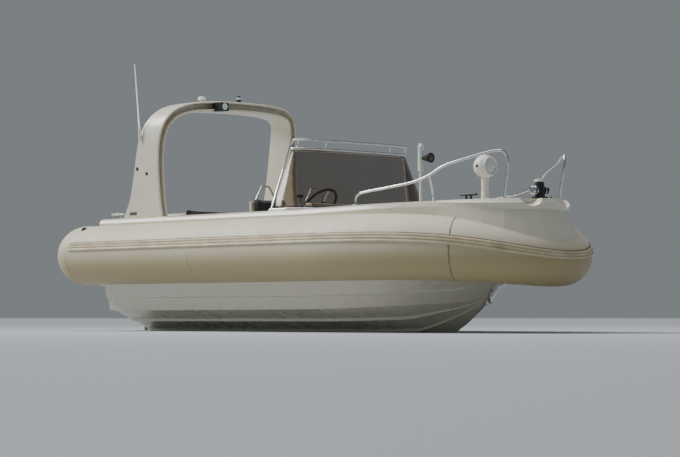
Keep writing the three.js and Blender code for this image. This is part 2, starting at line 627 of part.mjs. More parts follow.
// Fittings on the foredeck
const standing = (x, y, from, to, radius, sides = 16, endRadius = radius) => cylinder(
  [x, y, deckZ(x) + from], [x, y, deckZ(x) + to], radius, sides, endRadius,
);
add('light_post', footed(union(
  standing(1000, 0, -10, 8, 40, 18),
  standing(1000, 0, 0, 360, 16, 14),
  standing(1000, 0, 350, 590, 28, 16),
  standing(1000, 0, 580, 612, 24, 16, 14),
)), 'whitePlastic');
add('horn', cut(union(
  cylinder([1015, 0, 1745], [1060, 0, 1745], 16, 12),
  cylinder([1050, 0, 1745], [1135, 0, 1745], 24, 16, 48),
), cylinder([1000, 0, 1300], [1000, 0, 1900], 28 + SEAT_GAP, 24)), 'blackPlastic');
add('searchlight_base', footed(union(
  standing(1830, 0, -10, 14, 66, 20), standing(1830, 0, 0, 130, 40, 20, 34),
)), 'whitePlastic');
add('searchlight', union(
  standing(1830, 0, 130.5, 270, 34, 20, 44),
  new THREE.SphereGeometry(108, 18, 12).translate(1830, 0, deckZ(1830) + 340),
), 'whitePlastic');
add('windlass', footed(union(
  standing(2500, 0, -10, 22, 72, 24),
  standing(2500, 0, 15, 150, 48, 20, 40),
  standing(2500, 0, 140, 178, 34, 18, 44),
  cylinder([2500, -95, deckZ(2500) + 78], [2500, 95, deckZ(2500) + 78], 30, 16),
)), 'blackPlastic');
const CLEATS = [['bow', 2100, 490, 'blackPlastic'], ['stern', -2560, 850, 'stainless']];
for (const [place, x, y, finish] of CLEATS) {
  for (const [name, side] of SIDES) {
    const z = deckZ(x);
    add(`cleat_${place}_${name}`, onSide(footed(union(
      cylinder([x - 28, y, z - 5], [x - 28, y, z + 45], 11, 10),
      cylinder([x + 28, y, z - 5], [x + 28, y, z + 45], 11, 10),
      cylinder([x - 95, y, z + 49], [x + 95, y, z + 49], 12, 10),
    )), side), finish);
  }
}

// Helm and companion seats, sized to swivel between the cockpit's sides
const SEAT = { x: -620, y: 330, half: 205, front: 215, back: -190 };
for (const [name, side] of SIDES) {
  const y = side * SEAT.y;
  const [left, right] = [y - SEAT.half, y + SEAT.half];
  add(`seat_pedestal_${name}`, union(
    cylinder([SEAT.x, y, 530.6], [SEAT.x, y, 545], 150, 24),
    cylinder([SEAT.x, y, 540], [SEAT.x, y, 825.5], 38, 20),
  ), 'stainless');
  add(`seat_shell_${name}`, union(
    block([SEAT.x + SEAT.back, left, 826], [SEAT.x + SEAT.front, right, 866]),
    acrossProfile([[-205, 840], [-235, 1390], [-205, 1390], [-165, 840]].map(([x, z]) => [SEAT.x + x, z]), left, right),
  ), 'gelcoat');
  add(`seat_cushion_${name}`, block(
    [SEAT.x - 100, left + 12, 866.5], [SEAT.x + 212, right - 12, 970],
  ), 'upholstery');
  add(`seat_backrest_${name}`, acrossProfile(
    [[-174.4, 975], [-204.6, 1390], [-204.6, 1420], [-160, 1430], [-130, 1400], [-105, 975]].map(([x, z]) => [SEAT.x + x, z]),
    left + 12, right - 12,
  ), 'darkVinyl');
}

// The stern drive
const PIVOT = { x: -2900, z: 355 };
const lug = (low, high) => slab(chamferedRectangle(PIVOT.x - 30, -40, -2790, 40, 25), low, high);
add('transom_shield', cut(
  union(block([-2800, -160, 180], [-2750.5, 160, 540]), lug(491, 520), lug(190, 219)),
  cylinder([PIVOT.x, 0, 150], [PIVOT.x, 0, 560], 13, 20),
), 'castGrey');
const ROD_EYE = { x: -3090, z: 330 };
const BARREL_EYE = { x: -2910, z: 240 };
add('gimbal_ring', cut(
  union(
    cut(block([-2930, -100, 225], [-2876, 100, 485]), block([-2950, -74, 255], [-2850, 74, 455])),
    cylinder([PIVOT.x, 0, 193], [PIVOT.x, 0, 230], 12, 16),
    cylinder([PIVOT.x, 0, 480], [PIVOT.x, 0, 518], 12, 16),
    cylinder([BARREL_EYE.x, -140, BARREL_EYE.z], [BARREL_EYE.x, 140, BARREL_EYE.z], 9, 12),
  ),
  cylinder([PIVOT.x, -130, PIVOT.z], [PIVOT.x, 130, PIVOT.z], 11, 16),
), 'castGrey');
add('drive_leg', union(
  block([-3040, -60, 295], [-2880, 60, 388]),
  cylinder([PIVOT.x, -98, PIVOT.z], [PIVOT.x, 98, PIVOT.z], 10, 16),
  slab(chamferedRectangle(-3145, -75, -3015, 75, 25), 60, 415),
  slab(chamferedRectangle(-3120, -36, -3000, 36, 20), -160, 70),
  slab(chamferedRectangle(-3240, -110, -2980, 110, 50), 8, 20),
  turnedAlongX([[-3180, 0], [-3180, 42], [-3110, 55], [-3010, 52], [-2950, 25], [-2930, 0]], [0, 0, -160], 16),
  block([-3130, -6, -340], [-3030, 6, -190]),
  cylinder([ROD_EYE.x, -116, ROD_EYE.z], [ROD_EYE.x, 116, ROD_EYE.z], 15, 14),
), 'castGrey');
const blades = [0, 120, 240].map((degrees) => {
  const blade = new THREE.BoxGeometry(14, 90, 130).rotateZ(0.5).translate(-3215, 0, 95);
  return blade.rotateX((degrees * Math.PI) / 180).translate(0, 0, -160);
});
add('propeller', union(
  turnedAlongX([[-3265, 0], [-3265, 26], [-3180.6, 42], [-3180.6, 0]], [0, 0, -160], 18), ...blades,
), 'bronze');

// Trim cylinders: the barrels turn on the gimbal ring, the rods' eyes sit on the drive leg's pin
const stroke = new THREE.Vector3(ROD_EYE.x - BARREL_EYE.x, 0, ROD_EYE.z - BARREL_EYE.z);
const strokeLength = stroke.length();
const strokeWay = stroke.normalize();
const onStroke = (y, distance) => [BARREL_EYE.x + strokeWay.x * distance, y, BARREL_EYE.z + strokeWay.z * distance];
for (const [name, side] of SIDES) {
  const y = side * 128;
  add(`trim_barrel_${name}`, cut(
    union(
      cylinder([BARREL_EYE.x, y - 10, BARREL_EYE.z], [BARREL_EYE.x, y + 10, BARREL_EYE.z], 17, 16),
      cylinder(onStroke(y, 10), onStroke(y, 150), 16, 16),
    ),
    cylinder([BARREL_EYE.x, y - 20, BARREL_EYE.z], [BARREL_EYE.x, y + 20, BARREL_EYE.z], 9.6, 16),
    cylinder(onStroke(y, 35), onStroke(y, 160), 7.6, 16),
  ), 'castGrey');
  add(`trim_rod_${name}`, union(
    cylinder([ROD_EYE.x, y - 10, ROD_EYE.z], [ROD_EYE.x, y + 10, ROD_EYE.z], 16, 16),
    cylinder(onStroke(y, 50), onStroke(y, strokeLength - 8), 7, 12),
  ), 'stainless');
}

// The boarding ladder, folded forward on the platform
const LADDER = { x: -3185, z: 662, y0: -620, y1: -340, length: 400 };
add('boarding_ladder', union(
  ...[LADDER.y0, LADDER.y1].map((y) => cylinder([LADDER.x, y, LADDER.z], [LADDER.x + LADDER.length, y, LADDER.z], 12, 10)),
  ...[0, 130, 260, 385].map((d) => cylinder([LADDER.x + d, LADDER.y0, LADDER.z], [LADDER.x + d, LADDER.y1, LADDER.z], 11, 10)),
), 'stainless');
add('ladder_bracket', cut(
  union(
    block([LADDER.x - 10, -540, LADDER.z - 50], [PLATFORM.aft - 0.5, -420, LADDER.z - 17]),
    block([LADDER.x - 16, -495, LADDER.z - 50], [LADDER.x + 16, -465, LADDER.z + 16]),
  ),
  cylinder([LADDER.x, -510, LADDER.z], [LADDER.x, -450, LADDER.z], 11.6, 16),
), 'stainless');

boat.traverse((node) => {
  if (node.isMesh) node.geometry.translate(0, 0, -DRAFT);
});
export default boat;
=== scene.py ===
"""The looks of a rigid inflatable boat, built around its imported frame.

Sizes are in metres, in the frame's own axes: +X to the bow, +Y to port, +Z up, with the waterline at Z = 0.
"""
import logging
import math
from collections.abc import Callable, Iterable
from dataclasses import dataclass, field
from enum import Enum

import bmesh
import bpy
from mathutils import Matrix, Vector


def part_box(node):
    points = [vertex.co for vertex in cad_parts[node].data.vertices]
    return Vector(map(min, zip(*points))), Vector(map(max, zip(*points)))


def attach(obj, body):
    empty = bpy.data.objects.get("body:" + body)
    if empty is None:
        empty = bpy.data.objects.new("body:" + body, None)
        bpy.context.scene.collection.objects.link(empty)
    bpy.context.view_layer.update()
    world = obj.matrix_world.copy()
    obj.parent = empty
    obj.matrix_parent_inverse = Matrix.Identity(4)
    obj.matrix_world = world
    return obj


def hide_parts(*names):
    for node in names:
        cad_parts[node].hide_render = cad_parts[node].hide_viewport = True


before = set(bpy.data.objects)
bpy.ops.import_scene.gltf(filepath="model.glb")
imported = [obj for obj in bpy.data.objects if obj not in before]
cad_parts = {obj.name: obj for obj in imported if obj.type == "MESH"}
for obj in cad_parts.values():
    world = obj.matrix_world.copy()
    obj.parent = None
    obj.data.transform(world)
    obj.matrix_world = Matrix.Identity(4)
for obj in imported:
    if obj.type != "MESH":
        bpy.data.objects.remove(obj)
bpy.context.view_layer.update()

DRAFT = 0.120  # the waterline's height above the keel
DECK_HEIGHT = 1.262  # the side decks' height above the keel
DECK_RISE = 0.02  # the deck's slope forward of where its rise starts
DECK_RISE_START = 0.3604
MM = 0.001
ROUNDED_FROM = 32.0  # edges that turn more than this many degrees are rounded
HANDLING_SCALE = 9.0  # patches of handling, 110 mm apart
PORT, STARBOARD = 1, -1
SIDES = {"port": PORT, "starboard": STARBOARD}
AHEAD, AFT, UP = Vector((1, 0, 0)), Vector((-1, 0, 0)), Vector((0, 0, 1))
Place = tuple[float, float, float]
Spots = tuple[tuple[float, float], ...]  # two coordinates for each

log = logging.getLogger("boat")


def above_keel(height: float) -> float:
    """Returns the Z of a height that is measured from the keel."""
    return height - DRAFT


def deck_z(x: float) -> float:
    """Returns the deck's Z at a place along the boat: level aft, rising a little to the nose."""
    return above_keel(DECK_HEIGHT) + DECK_RISE * max(0.0, x - DECK_RISE_START)


def linear(colour: int) -> tuple[float, float, float, float]:
    """Turns an sRGB hex colour into linear red, green, blue and alpha.

    Args:
        colour: the colour as 0xRRGGBB.

    Returns:
        The four linear components, with alpha 1.
    """
    parts = [((colour >> shift) & 0xFF) / 255 for shift in (16, 8, 0)]
    red, green, blue = (c / 12.92 if c <= 0.04045 else ((c + 0.055) / 1.055) ** 2.4 for c in parts)
    return red, green, blue, 1.0


# Finishes


def add_node(
    tree: bpy.types.NodeTree, kind: str, settings: dict | None = None, links: dict | None = None,
) -> bpy.types.Node:
    """Adds a shader node with its settings and links.

    Args:
        tree: the node tree.
        kind: the node's type.
        settings: a value for each property or input, by its name, or by an input's index.
        links: the output socket that feeds each input, by its name or index.

    Returns:
        The new node.
    """
    node = tree.nodes.new(kind)
    for key, value in (settings or {}).items():
        if isinstance(key, str) and hasattr(node, key):
            setattr(node, key, value)
        else:
            node.inputs[key].default_value = value
    for key, socket in (links or {}).items():
        tree.links.new(socket, node.inputs[key])
    return node


class Grain(Enum):
    """The small relief of a surface."""

    ORANGE_PEEL = "soft waves, as in gelcoat and paint"
    PEBBLE = "rounded cells, as in coated cloth and vinyl"
    CAST = "fine sandy relief, as in castings"
    BRUSHED = "hairlines along X"
    STUDS = "close round studs, as in a non-slip deck"


@dataclass(frozen=True)
class Finish:
    """A procedural finish: a colour that wanders to a second tone, roughness that wanders, and a grain, with
    painted shade lower down where a painted shade colour is given.
    """

    name: str
    slot: str
    colour: int
    tone: int
    roughness: float
    grain: Grain
    grain_mm: float
    relief_mm: float
    wander: float = 0.06
    mottle_mm: float = 400.0
    metallic: float = 0.0
    ior: float = 1.5
    coat: float = 0.0
    sheen: float = 0.0
    transmission: float = 0.0
    glow: float = 0.0
    painted_shade: int | None = None  # painted shade: the darker colour lower down, where less light falls
    shade_from: float = 0.0
    shade_to: float = 0.0

    def material(self) -> bpy.types.Material:
        """Returns the finish's material, made on first use."""
        made = bpy.data.materials.get(self.name)
        if made:
            return made
        made = bpy.data.materials.new(self.name)
        made.use_nodes = True
        tree = made.node_tree
        tree.nodes.clear()
        place = add_node(tree, "ShaderNodeTexCoord").outputs["Object"]
        shader = add_node(tree, "ShaderNodeBsdfPrincipled", {
            "Metallic": self.metallic,
            "Coat Weight": self.coat,
            "Coat Roughness": 0.08,
            "Sheen Weight": self.sheen,
            "Sheen Roughness": 0.4,
            "Transmission Weight": self.transmission,
            "Emission Strength": self.glow,
            "Emission Color": linear(self.colour),
        })
        if not self.metallic:
            shader.inputs["IOR"].default_value = self.ior
        tree.links.new(self._colour(tree, place), shader.inputs["Base Color"])
        tree.links.new(self._roughness(tree, place), shader.inputs["Roughness"])
        tree.links.new(self._relief(tree, place), shader.inputs["Normal"])
        add_node(tree, "ShaderNodeOutputMaterial", links={"Surface": shader.outputs["BSDF"]})
        return made

    def _colour(self, tree: bpy.types.NodeTree, place: bpy.types.NodeSocket) -> bpy.types.NodeSocket:
        """Returns the colour: broad patches between the two tones, with finer ones in them, darkened lower
        down by painted shade where the finish has one.

        Inputs 6 and 7 are the two colours of a mix node, and its output 2 is their mix.
        """
        cloud = add_node(
            tree, "ShaderNodeTexNoise",
            {"Scale": 1000 / self.mottle_mm, "Detail": 5.0, "Roughness": 0.55}, {"Vector": place},
        )
        share = add_node(
            tree, "ShaderNodeMapRange",
            {"From Min": 0.35, "From Max": 0.7, "interpolation_type": "SMOOTHSTEP"},
            {"Value": cloud.outputs["Fac"]},
        )
        mixed = add_node(
            tree, "ShaderNodeMix", {"data_type": "RGBA", 6: linear(self.colour), 7: linear(self.tone)},
            {0: share.outputs["Result"]},
        )
        if self.painted_shade is None:
            return mixed.outputs[2]
        # Painted shade: going down from shade_to to shade_from, the colour darkens to the painted shade
        # colour
        height = add_node(tree, "ShaderNodeSeparateXYZ", links={"Vector": place}).outputs["Z"]
        lit_share = add_node(
            tree, "ShaderNodeMapRange",
            {"From Min": self.shade_from, "From Max": self.shade_to, "interpolation_type": "SMOOTHSTEP"},
            {"Value": height},
        )
        by_height = add_node(
            tree, "ShaderNodeMix", {"data_type": "RGBA", 6: linear(self.painted_shade)},
            {0: lit_share.outputs["Result"], 7: mixed.outputs[2]},
        )
        return by_height.outputs[2]

    def _roughness(self, tree: bpy.types.NodeTree, place: bpy.types.NodeSocket) -> bpy.types.NodeSocket:
        """Returns a roughness that wanders to either side of its middle, as a handled surface's does."""
        cloud = add_node(
            tree, "ShaderNodeTexNoise", {"Scale": HANDLING_SCALE, "Detail": 3.0}, {"Vector": place},
        )
        spread = add_node(tree, "ShaderNodeMapRange", {
            "From Min": 0.3, "From Max": 0.7,
            "To Min": max(0.02, self.roughness - self.wander), "To Max": self.roughness + self.wander,
        }, {"Value": cloud.outputs["Fac"]})
        return spread.outputs["Result"]

    def _relief(self, tree: bpy.types.NodeTree, place: bpy.types.NodeSocket) -> bpy.types.NodeSocket:
        """Returns the normal, bumped by the grain at its real size."""
        scale = 1000 / self.grain_mm
        noise = {"Scale": scale, "Detail": 2.0}
        match self.grain:
            case Grain.PEBBLE:
                cells = add_node(
                    tree, "ShaderNodeTexVoronoi",
                    {"feature": "SMOOTH_F1", "Scale": scale, "Smoothness": 0.6}, {"Vector": place},
                )
                height = cells.outputs["Distance"]
            case Grain.STUDS:
                cells = add_node(
                    tree, "ShaderNodeTexVoronoi",
                    {"feature": "F1", "Scale": scale, "Randomness": 0.15}, {"Vector": place},
                )
                dome = add_node(
                    tree, "ShaderNodeMapRange",
                    {"From Min": 0.1, "From Max": 0.42, "To Min": 1.0, "To Max": 0.0},
                    {"Value": cells.outputs["Distance"]},
                )
                height = dome.outputs["Result"]
            case Grain.BRUSHED:
                drawn = add_node(tree, "ShaderNodeMapping", {"Scale": (0.03, 1.0, 1.0)}, {"Vector": place})
                along = drawn.outputs["Vector"]
                height = add_node(tree, "ShaderNodeTexNoise", noise, {"Vector": along}).outputs["Fac"]
            case _:
                height = add_node(tree, "ShaderNodeTexNoise", noise, {"Vector": place}).outputs["Fac"]
        depth = {"Strength": 0.6, "Distance": self.relief_mm * MM}
        return add_node(tree, "ShaderNodeBump", depth, {"Height": height}).outputs["Normal"]


@dataclass(frozen=True)
class MouldedGelcoat(Finish):
    """Polyester gelcoat out of a polished mould: a hard cream gloss, faintly wavy over the glass fibre."""

    name: str = "moulded_gelcoat"
    slot: str = "gelcoat"
    colour: int = 0xDDD7C5
    tone: int = 0xD9D2BF
    roughness: float = 0.28
    grain: Grain = Grain.ORANGE_PEEL
    grain_mm: float = 45.0
    relief_mm: float = 0.06
    wander: float = 0.03
    coat: float = 0.35
    mottle_mm: float = 700.0


@dataclass(frozen=True)
class NonSlipGelcoat(Finish):
    """Gelcoat moulded with studs: the same cream, matt, a little darker where dirt stays between them."""

    name: str = "non_slip_gelcoat"
    slot: str = "gelcoat"
    colour: int = 0xCFC8B4
    tone: int = 0xC2BAA4
    roughness: float = 0.6
    grain: Grain = Grain.STUDS
    grain_mm: float = 14.0  # real studs are 4 mm apart, drawn coarser to show at this size
    relief_mm: float = 1.5


@dataclass(frozen=True)
class CoatedCloth(Finish):
    """Polyester cloth coated with synthetic rubber: matt tan, finely pebbled, with painted shade darkening it
    lower down.
    """

    name: str = "coated_cloth"
    slot: str = "fabric"
    colour: int = 0xD8D0BA
    tone: int = 0xD2C9B1
    roughness: float = 0.52
    grain: Grain = Grain.PEBBLE
    grain_mm: float = 9.0  # the cloth's threads are 1 mm apart, drawn coarser to show at this size
    relief_mm: float = 0.5
    sheen: float = 0.15
    mottle_mm: float = 500.0
    # painted shade: below the tube's middle the cloth darkens to this tan
    painted_shade: int | None = 0xAE9C73
    shade_from: float = 0.62
    shade_to: float = 0.86


@dataclass(frozen=True)
class SeamTape(CoatedCloth):
    """The same cloth as a narrow tape in dark brown, glued over the seam."""

    name: str = "seam_tape"
    colour: int = 0x8E8266
    tone: int = 0x7C7158
    mottle_mm: float = 60.0
    painted_shade: int | None = None


@dataclass(frozen=True)
class ExtrudedRubber(Finish):
    """Extruded rubber strake: satin sand colour with dull scuffs where it meets the quay."""

    name: str = "extruded_rubber"
    slot: str = "rubber"
    colour: int = 0xCDBF9F
    tone: int = 0xB7A888
    roughness: float = 0.48
    grain: Grain = Grain.CAST
    grain_mm: float = 6.0  # real grain is 1 mm, drawn coarser to show at this size
    relief_mm: float = 0.3
    wander: float = 0.12
    mottle_mm: float = 160.0


@dataclass(frozen=True)
class DarkRubber(ExtrudedRubber):
    """Extruded rubber in dark brown: the painted shadow line over the strake, the painted shade in the arch
    legs' drain slots, and the horn's grille.
    """

    name: str = "dark_rubber"
    colour: int = 0x6B5C48
    tone: int = 0x584B3A


@dataclass(frozen=True)
class PolishedStainless(Finish):
    """Stainless tube, polished lengthwise: bright, with hairlines and a few dull water marks."""

    name: str = "polished_stainless"
    slot: str = "stainless"
    colour: int = 0xD8DADC
    tone: int = 0xC2C5C8
    roughness: float = 0.16
    grain: Grain = Grain.BRUSHED
    grain_mm: float = 3.0  # real hairlines are 0.2 mm apart, drawn coarser to show at this size
    relief_mm: float = 0.05
    metallic: float = 1.0
    mottle_mm: float = 120.0


@dataclass(frozen=True)
class SmokedAcrylic(Finish):
    """Cast acrylic, smoked brown: clear through, with a sharp gloss."""

    name: str = "smoked_acrylic"
    slot: str = "acrylic"
    colour: int = 0xA59B92
    tone: int = 0xA0968D
    roughness: float = 0.04
    grain: Grain = Grain.ORANGE_PEEL
    grain_mm: float = 200.0
    relief_mm: float = 0.2
    wander: float = 0.02
    ior: float = 1.49
    transmission: float = 1.0


@dataclass(frozen=True)
class HatchAcrylic(SmokedAcrylic):
    """Thick cast acrylic over a dark lining: nearly black, glossy."""

    name: str = "hatch_acrylic"
    colour: int = 0x2A2C2E
    tone: int = 0x323436
    transmission: float = 0.0
    roughness: float = 0.08


@dataclass(frozen=True)
class CreamVinyl(Finish):
    """Marine vinyl in cream: soft satin with a leather grain."""

    name: str = "cream_vinyl"
    slot: str = "upholstery"
    colour: int = 0xE2DAC6
    tone: int = 0xD8CEB7
    roughness: float = 0.5
    grain: Grain = Grain.PEBBLE
    grain_mm: float = 8.0  # real grain is 2 mm, drawn coarser to show at this size
    relief_mm: float = 0.5
    sheen: float = 0.1


@dataclass(frozen=True)
class BlackVinyl(CreamVinyl):
    """Marine vinyl in black, greyer where it is sat on."""

    name: str = "black_vinyl"
    slot: str = "dark_vinyl"
    colour: int = 0x232323
    tone: int = 0x303030


@dataclass(frozen=True)
class PaintedCasting(Finish):
    """Cast aluminium under satin charcoal paint: fine sandy relief, softened by the paint."""

    name: str = "painted_casting"
    slot: str = "cast_grey"
    colour: int = 0x34383B
    tone: int = 0x3F4447
    roughness: float = 0.38
    grain: Grain = Grain.CAST
    grain_mm: float = 5.0  # real sand grain is 0.5 mm, drawn coarser to show at this size
    relief_mm: float = 0.3
    coat: float = 0.2


@dataclass(frozen=True)
class PaintedIron(PaintedCasting):
    """Cast iron under grey engine paint, rough and oily."""

    name: str = "painted_iron"
    slot: str = "engine_iron"
    colour: int = 0x54585A
    tone: int = 0x3C3E3F


@dataclass(frozen=True)
class GroundSteel(PolishedStainless):
    """Ground stainless propeller: bright with circular haze."""

    name: str = "ground_steel"
    slot: str = "bronze"
    roughness: float = 0.24


@dataclass(frozen=True)
class BlackAbs(Finish):
    """Moulded ABS in black: satin, with a fine moulded grain."""

    name: str = "black_abs"
    slot: str = "black_plastic"
    colour: int = 0x1B1C1D
    tone: int = 0x252627
    roughness: float = 0.42
    grain: Grain = Grain.CAST
    grain_mm: float = 4.0  # real moulded grain is 0.4 mm, drawn coarser to show at this size
    relief_mm: float = 0.2


@dataclass(frozen=True)
class WhiteAsa(BlackAbs):
    """Moulded ASA in white: weatherproof satin plastic, a little yellowed."""

    name: str = "white_asa"
    slot: str = "white_plastic"
    colour: int = 0xE9E9E4
    tone: int = 0xDDDDD4
    roughness: float = 0.32


@dataclass(frozen=True)
class ClearLens(BlackAbs):
    """Clear polycarbonate over a bright reflector."""

    name: str = "clear_lens"
    slot: str = "white_plastic"
    colour: int = 0xDDE4E8
    tone: int = 0xC8D0D6
    roughness: float = 0.06
    wander: float = 0.02
    coat: float = 1.0


@dataclass(frozen=True)
class FoamDecking(Finish):
    """Closed-cell foam decking: matt grey-brown, finely sanded."""

    name: str = "foam_decking"
    slot: str = "rubber"
    colour: int = 0x8C8474
    tone: int = 0x7E7666
    roughness: float = 0.8
    grain: Grain = Grain.CAST
    grain_mm: float = 5.0  # real foam cells are 1 mm, drawn coarser to show at this size
    relief_mm: float = 0.4


# Work on the bench: forms become pieces


def node_form(node: str, flat_degrees: float = 0.5) -> bmesh.types.BMesh:
    """Copies a frame node, merged, with its flat areas in one face each.

    Args:
        node: the node's name.
        flat_degrees: faces that turn less than this against each other become one.

    Returns:
        A new bmesh.
    """
    form = bmesh.new()
    form.from_mesh(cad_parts[node].data)
    bmesh.ops.remove_doubles(form, verts=form.verts, dist=2e-5)
    if flat_degrees:
        bmesh.ops.dissolve_limit(
            form, angle_limit=math.radians(flat_degrees), use_dissolve_boundaries=False,
            verts=form.verts, edges=form.edges,
        )
    return form


def piece(
    form: bmesh.types.BMesh, name: str, body: str, finish: Finish,
    replaced: Iterable[str] = (), sharp: float = 35.0,
) -> bpy.types.Object:
    """Makes a piece from a form and mounts it on a body of the frame.

    Args:
        form: the shape, which is used up.
        name: the piece's name.
        body: the frame's body that it rides on.
        finish: what it is made of.
        replaced: the frame's nodes that it stands for.
        sharp: edges that turn more than this many degrees stay sharp in the shading.

    Returns:
        The piece.
    """
    mesh = bpy.data.meshes.new(name)
    form.to_mesh(mesh)
    form.free()
    mesh.shade_smooth()
    mesh.set_sharp_from_angle(angle=math.radians(sharp))
    made = bpy.data.objects.new(name, mesh)
    bpy.context.scene.collection.objects.link(made)
    mesh.materials.append(finish.material())
    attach(made, body)
    if replaced:
        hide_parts(*replaced)
    log.info("%s: %d faces on %s", name, len(mesh.polygons), body)
    return made


def soften(made: bpy.types.Object, width: float, segments: int = 2) -> bpy.types.Object:
    """Rounds a piece's edges, and lets its flat faces shade flat.

    Args:
        made: the piece.
        width: the rounding's width.
        segments: faces across it.

    Returns:
        The same piece.
    """
    bevel = made.modifiers.new("edge_rounding", "BEVEL")
    bevel.width, bevel.segments, bevel.limit_method = width, segments, "ANGLE"
    bevel.angle_limit = math.radians(ROUNDED_FROM)
    bevel.use_clamp_overlap = True
    made.modifiers.new("flat_faces", "WEIGHTED_NORMAL").keep_sharp = True
    return made


def dressed(
    node: str, name: str, body: str, finish: Finish,
    rounding: float = 0.0, sharp: float = 35.0, segments: int = 2,
) -> bpy.types.Object:
    """Makes a piece from a node's own shape, with its edges rounded, and puts it in the node's place.

    Args:
        node: the node to copy and replace.
        name: the piece's name.
        body: the body it rides on.
        finish: what it is made of.
        rounding: its edges' rounding, or 0 for none.
        sharp: edges that turn more than this many degrees stay sharp in the shading.
        segments: faces across the rounding.

    Returns:
        The piece.
    """
    made = piece(node_form(node), name, body, finish, (node,), sharp)
    return soften(made, rounding, segments) if rounding else made


def smoothed(node: str, name: str, body: str, finish: Finish, crease_degrees: float) -> bpy.types.Object:
    """Makes a piece from a lofted node, its stations joined in smooth curves.

    Args:
        node: the node to copy and replace.
        name: the piece's name.
        body: the body it rides on.
        finish: what it is made of.
        crease_degrees: edges that turn more than this stay sharp.

    Returns:
        The piece.
    """
    form = node_form(node, 0.0)
    bmesh.ops.join_triangles(
        form, faces=form.faces, cmp_seam=False, cmp_sharp=False, cmp_uvs=False, cmp_vcols=False,
        cmp_materials=False, angle_face_threshold=math.radians(35), angle_shape_threshold=math.pi,
    )
    crease = form.edges.layers.float.new("crease_edge")
    for edge in form.edges:
        if edge.is_manifold and edge.calc_face_angle() > math.radians(crease_degrees):
            edge[crease] = 0.9
    made = piece(form, name, body, finish, (node,), crease_degrees)
    subdivision = made.modifiers.new("smooth_curves", "SUBSURF")
    subdivision.levels = subdivision.render_levels = 2
    return made


def ring_of(form: bmesh.types.BMesh, points: list[Vector]) -> list[bmesh.types.BMEdge]:
    """Adds a closed ring of edges through the points and returns the edges."""
    corners = [form.verts.new(point) for point in points]
    return [form.edges.new((a, b)) for a, b in zip(corners, corners[1:] + corners[:1])]


def loft(rings: list[list[Vector]], capped: bool = True) -> bmesh.types.BMesh:
    """Bridges rings of equally many points into a skin.

    Args:
        rings: the points of each ring, in step with each other.
        capped: whether the two ends are closed.

    Returns:
        The skin, facing outwards.
    """
    form = bmesh.new()
    loops = [ring_of(form, ring) for ring in rings]
    for one, other in zip(loops, loops[1:]):
        bmesh.ops.bridge_loops(form, edges=one + other)
    if capped:
        bmesh.ops.holes_fill(form, edges=loops[0] + loops[-1], sides=0)
    bmesh.ops.recalc_face_normals(form, faces=form.faces)
    return form


def frame_at(place: Vector, axis: Vector) -> Matrix:
    """Returns the matrix that puts local Z along an axis, at a place."""
    return Matrix.Translation(place) @ axis.normalized().to_track_quat("Z", "Y").to_matrix().to_4x4()


def turned(profile: list[tuple[float, float]], at: Matrix, steps: int = 32) -> bmesh.types.BMesh:
    """Spins a profile about the local Z axis.

    Args:
        profile: radius and height of each point, from one end on the axis to the other.
        at: where the result goes.
        steps: faces round it.

    Returns:
        The turned form, facing outwards.
    """
    form = bmesh.new()
    points = [form.verts.new((radius, 0.0, height)) for radius, height in profile]
    edges = [form.edges.new(pair) for pair in zip(points, points[1:])]
    bmesh.ops.spin(
        form, geom=points + edges, cent=(0, 0, 0), axis=UP, angle=math.tau, steps=steps, use_merge=True,
    )
    bmesh.ops.remove_doubles(form, verts=form.verts, dist=1e-6)
    bmesh.ops.recalc_face_normals(form, faces=form.faces)
    form.transform(at)
    return form


def bar(along: list[Vector], radius: float, sides: int = 12) -> bmesh.types.BMesh:
    """Makes a round bar along the points, with flat ends.

    Args:
        along: the points of its axis.
        radius: its radius.
        sides: faces round it.

    Returns:
        The bar.
    """
    rings = []
    side = UP.cross(along[1] - along[0])
    side = side.normalized() if side.length > 1e-4 else AHEAD.copy()
    for i, point in enumerate(along):
        heading = (along[min(i + 1, len(along) - 1)] - along[max(i - 1, 0)]).normalized()
        side = (side - heading * side.dot(heading)).normalized()
        up = heading.cross(side)
        turns = [math.tau * k / sides for k in range(sides)]
        rings.append([point + (side * math.cos(a) + up * math.sin(a)) * radius for a in turns])
    return loft(rings)


def rounded_block(size: Place, at: Matrix, rounding: float) -> bmesh.types.BMesh:
    """Makes a block centred on a place, with every edge rounded."""
    form = bmesh.new()
    bmesh.ops.create_cube(form, size=1.0, matrix=Matrix.Diagonal((*size, 1.0)))
    bmesh.ops.bevel(
        form, geom=form.edges[:], offset=rounding, offset_type="OFFSET", segments=3,
        profile=0.5, affect="EDGES", material=-1, clamp_overlap=True,
    )
    form.transform(at)
    return form


def pad(
    outline: list[tuple[float, float]], surface: Callable[[float], float], thickness: float, corner: float,
) -> bmesh.types.BMesh:
    """Lays a thin pad with rounded corners on a surface.

    Args:
        outline: its corners as X and Y.
        surface: the surface's Z at an X.
        thickness: how far it stands up.
        corner: the corners' radius.

    Returns:
        The pad.
    """
    form = bmesh.new()
    form.faces.new([form.verts.new((x, y, 0.0)) for x, y in outline])
    bmesh.ops.bevel(
        form, geom=form.verts[:], offset=corner, offset_type="OFFSET", segments=6,
        profile=0.5, affect="VERTICES", material=-1,
    )
    face = next(iter(form.faces))
    raised = bmesh.ops.extrude_face_region(form, geom=[face])
    top = [v for v in raised["geom"] if isinstance(v, bmesh.types.BMVert)]
    bmesh.ops.translate(form, verts=top, vec=(0, 0, thickness))
    for vertex in form.verts:
        vertex.co.z += surface(vertex.co.x)
    bmesh.ops.recalc_face_normals(form, faces=form.faces)
    return form


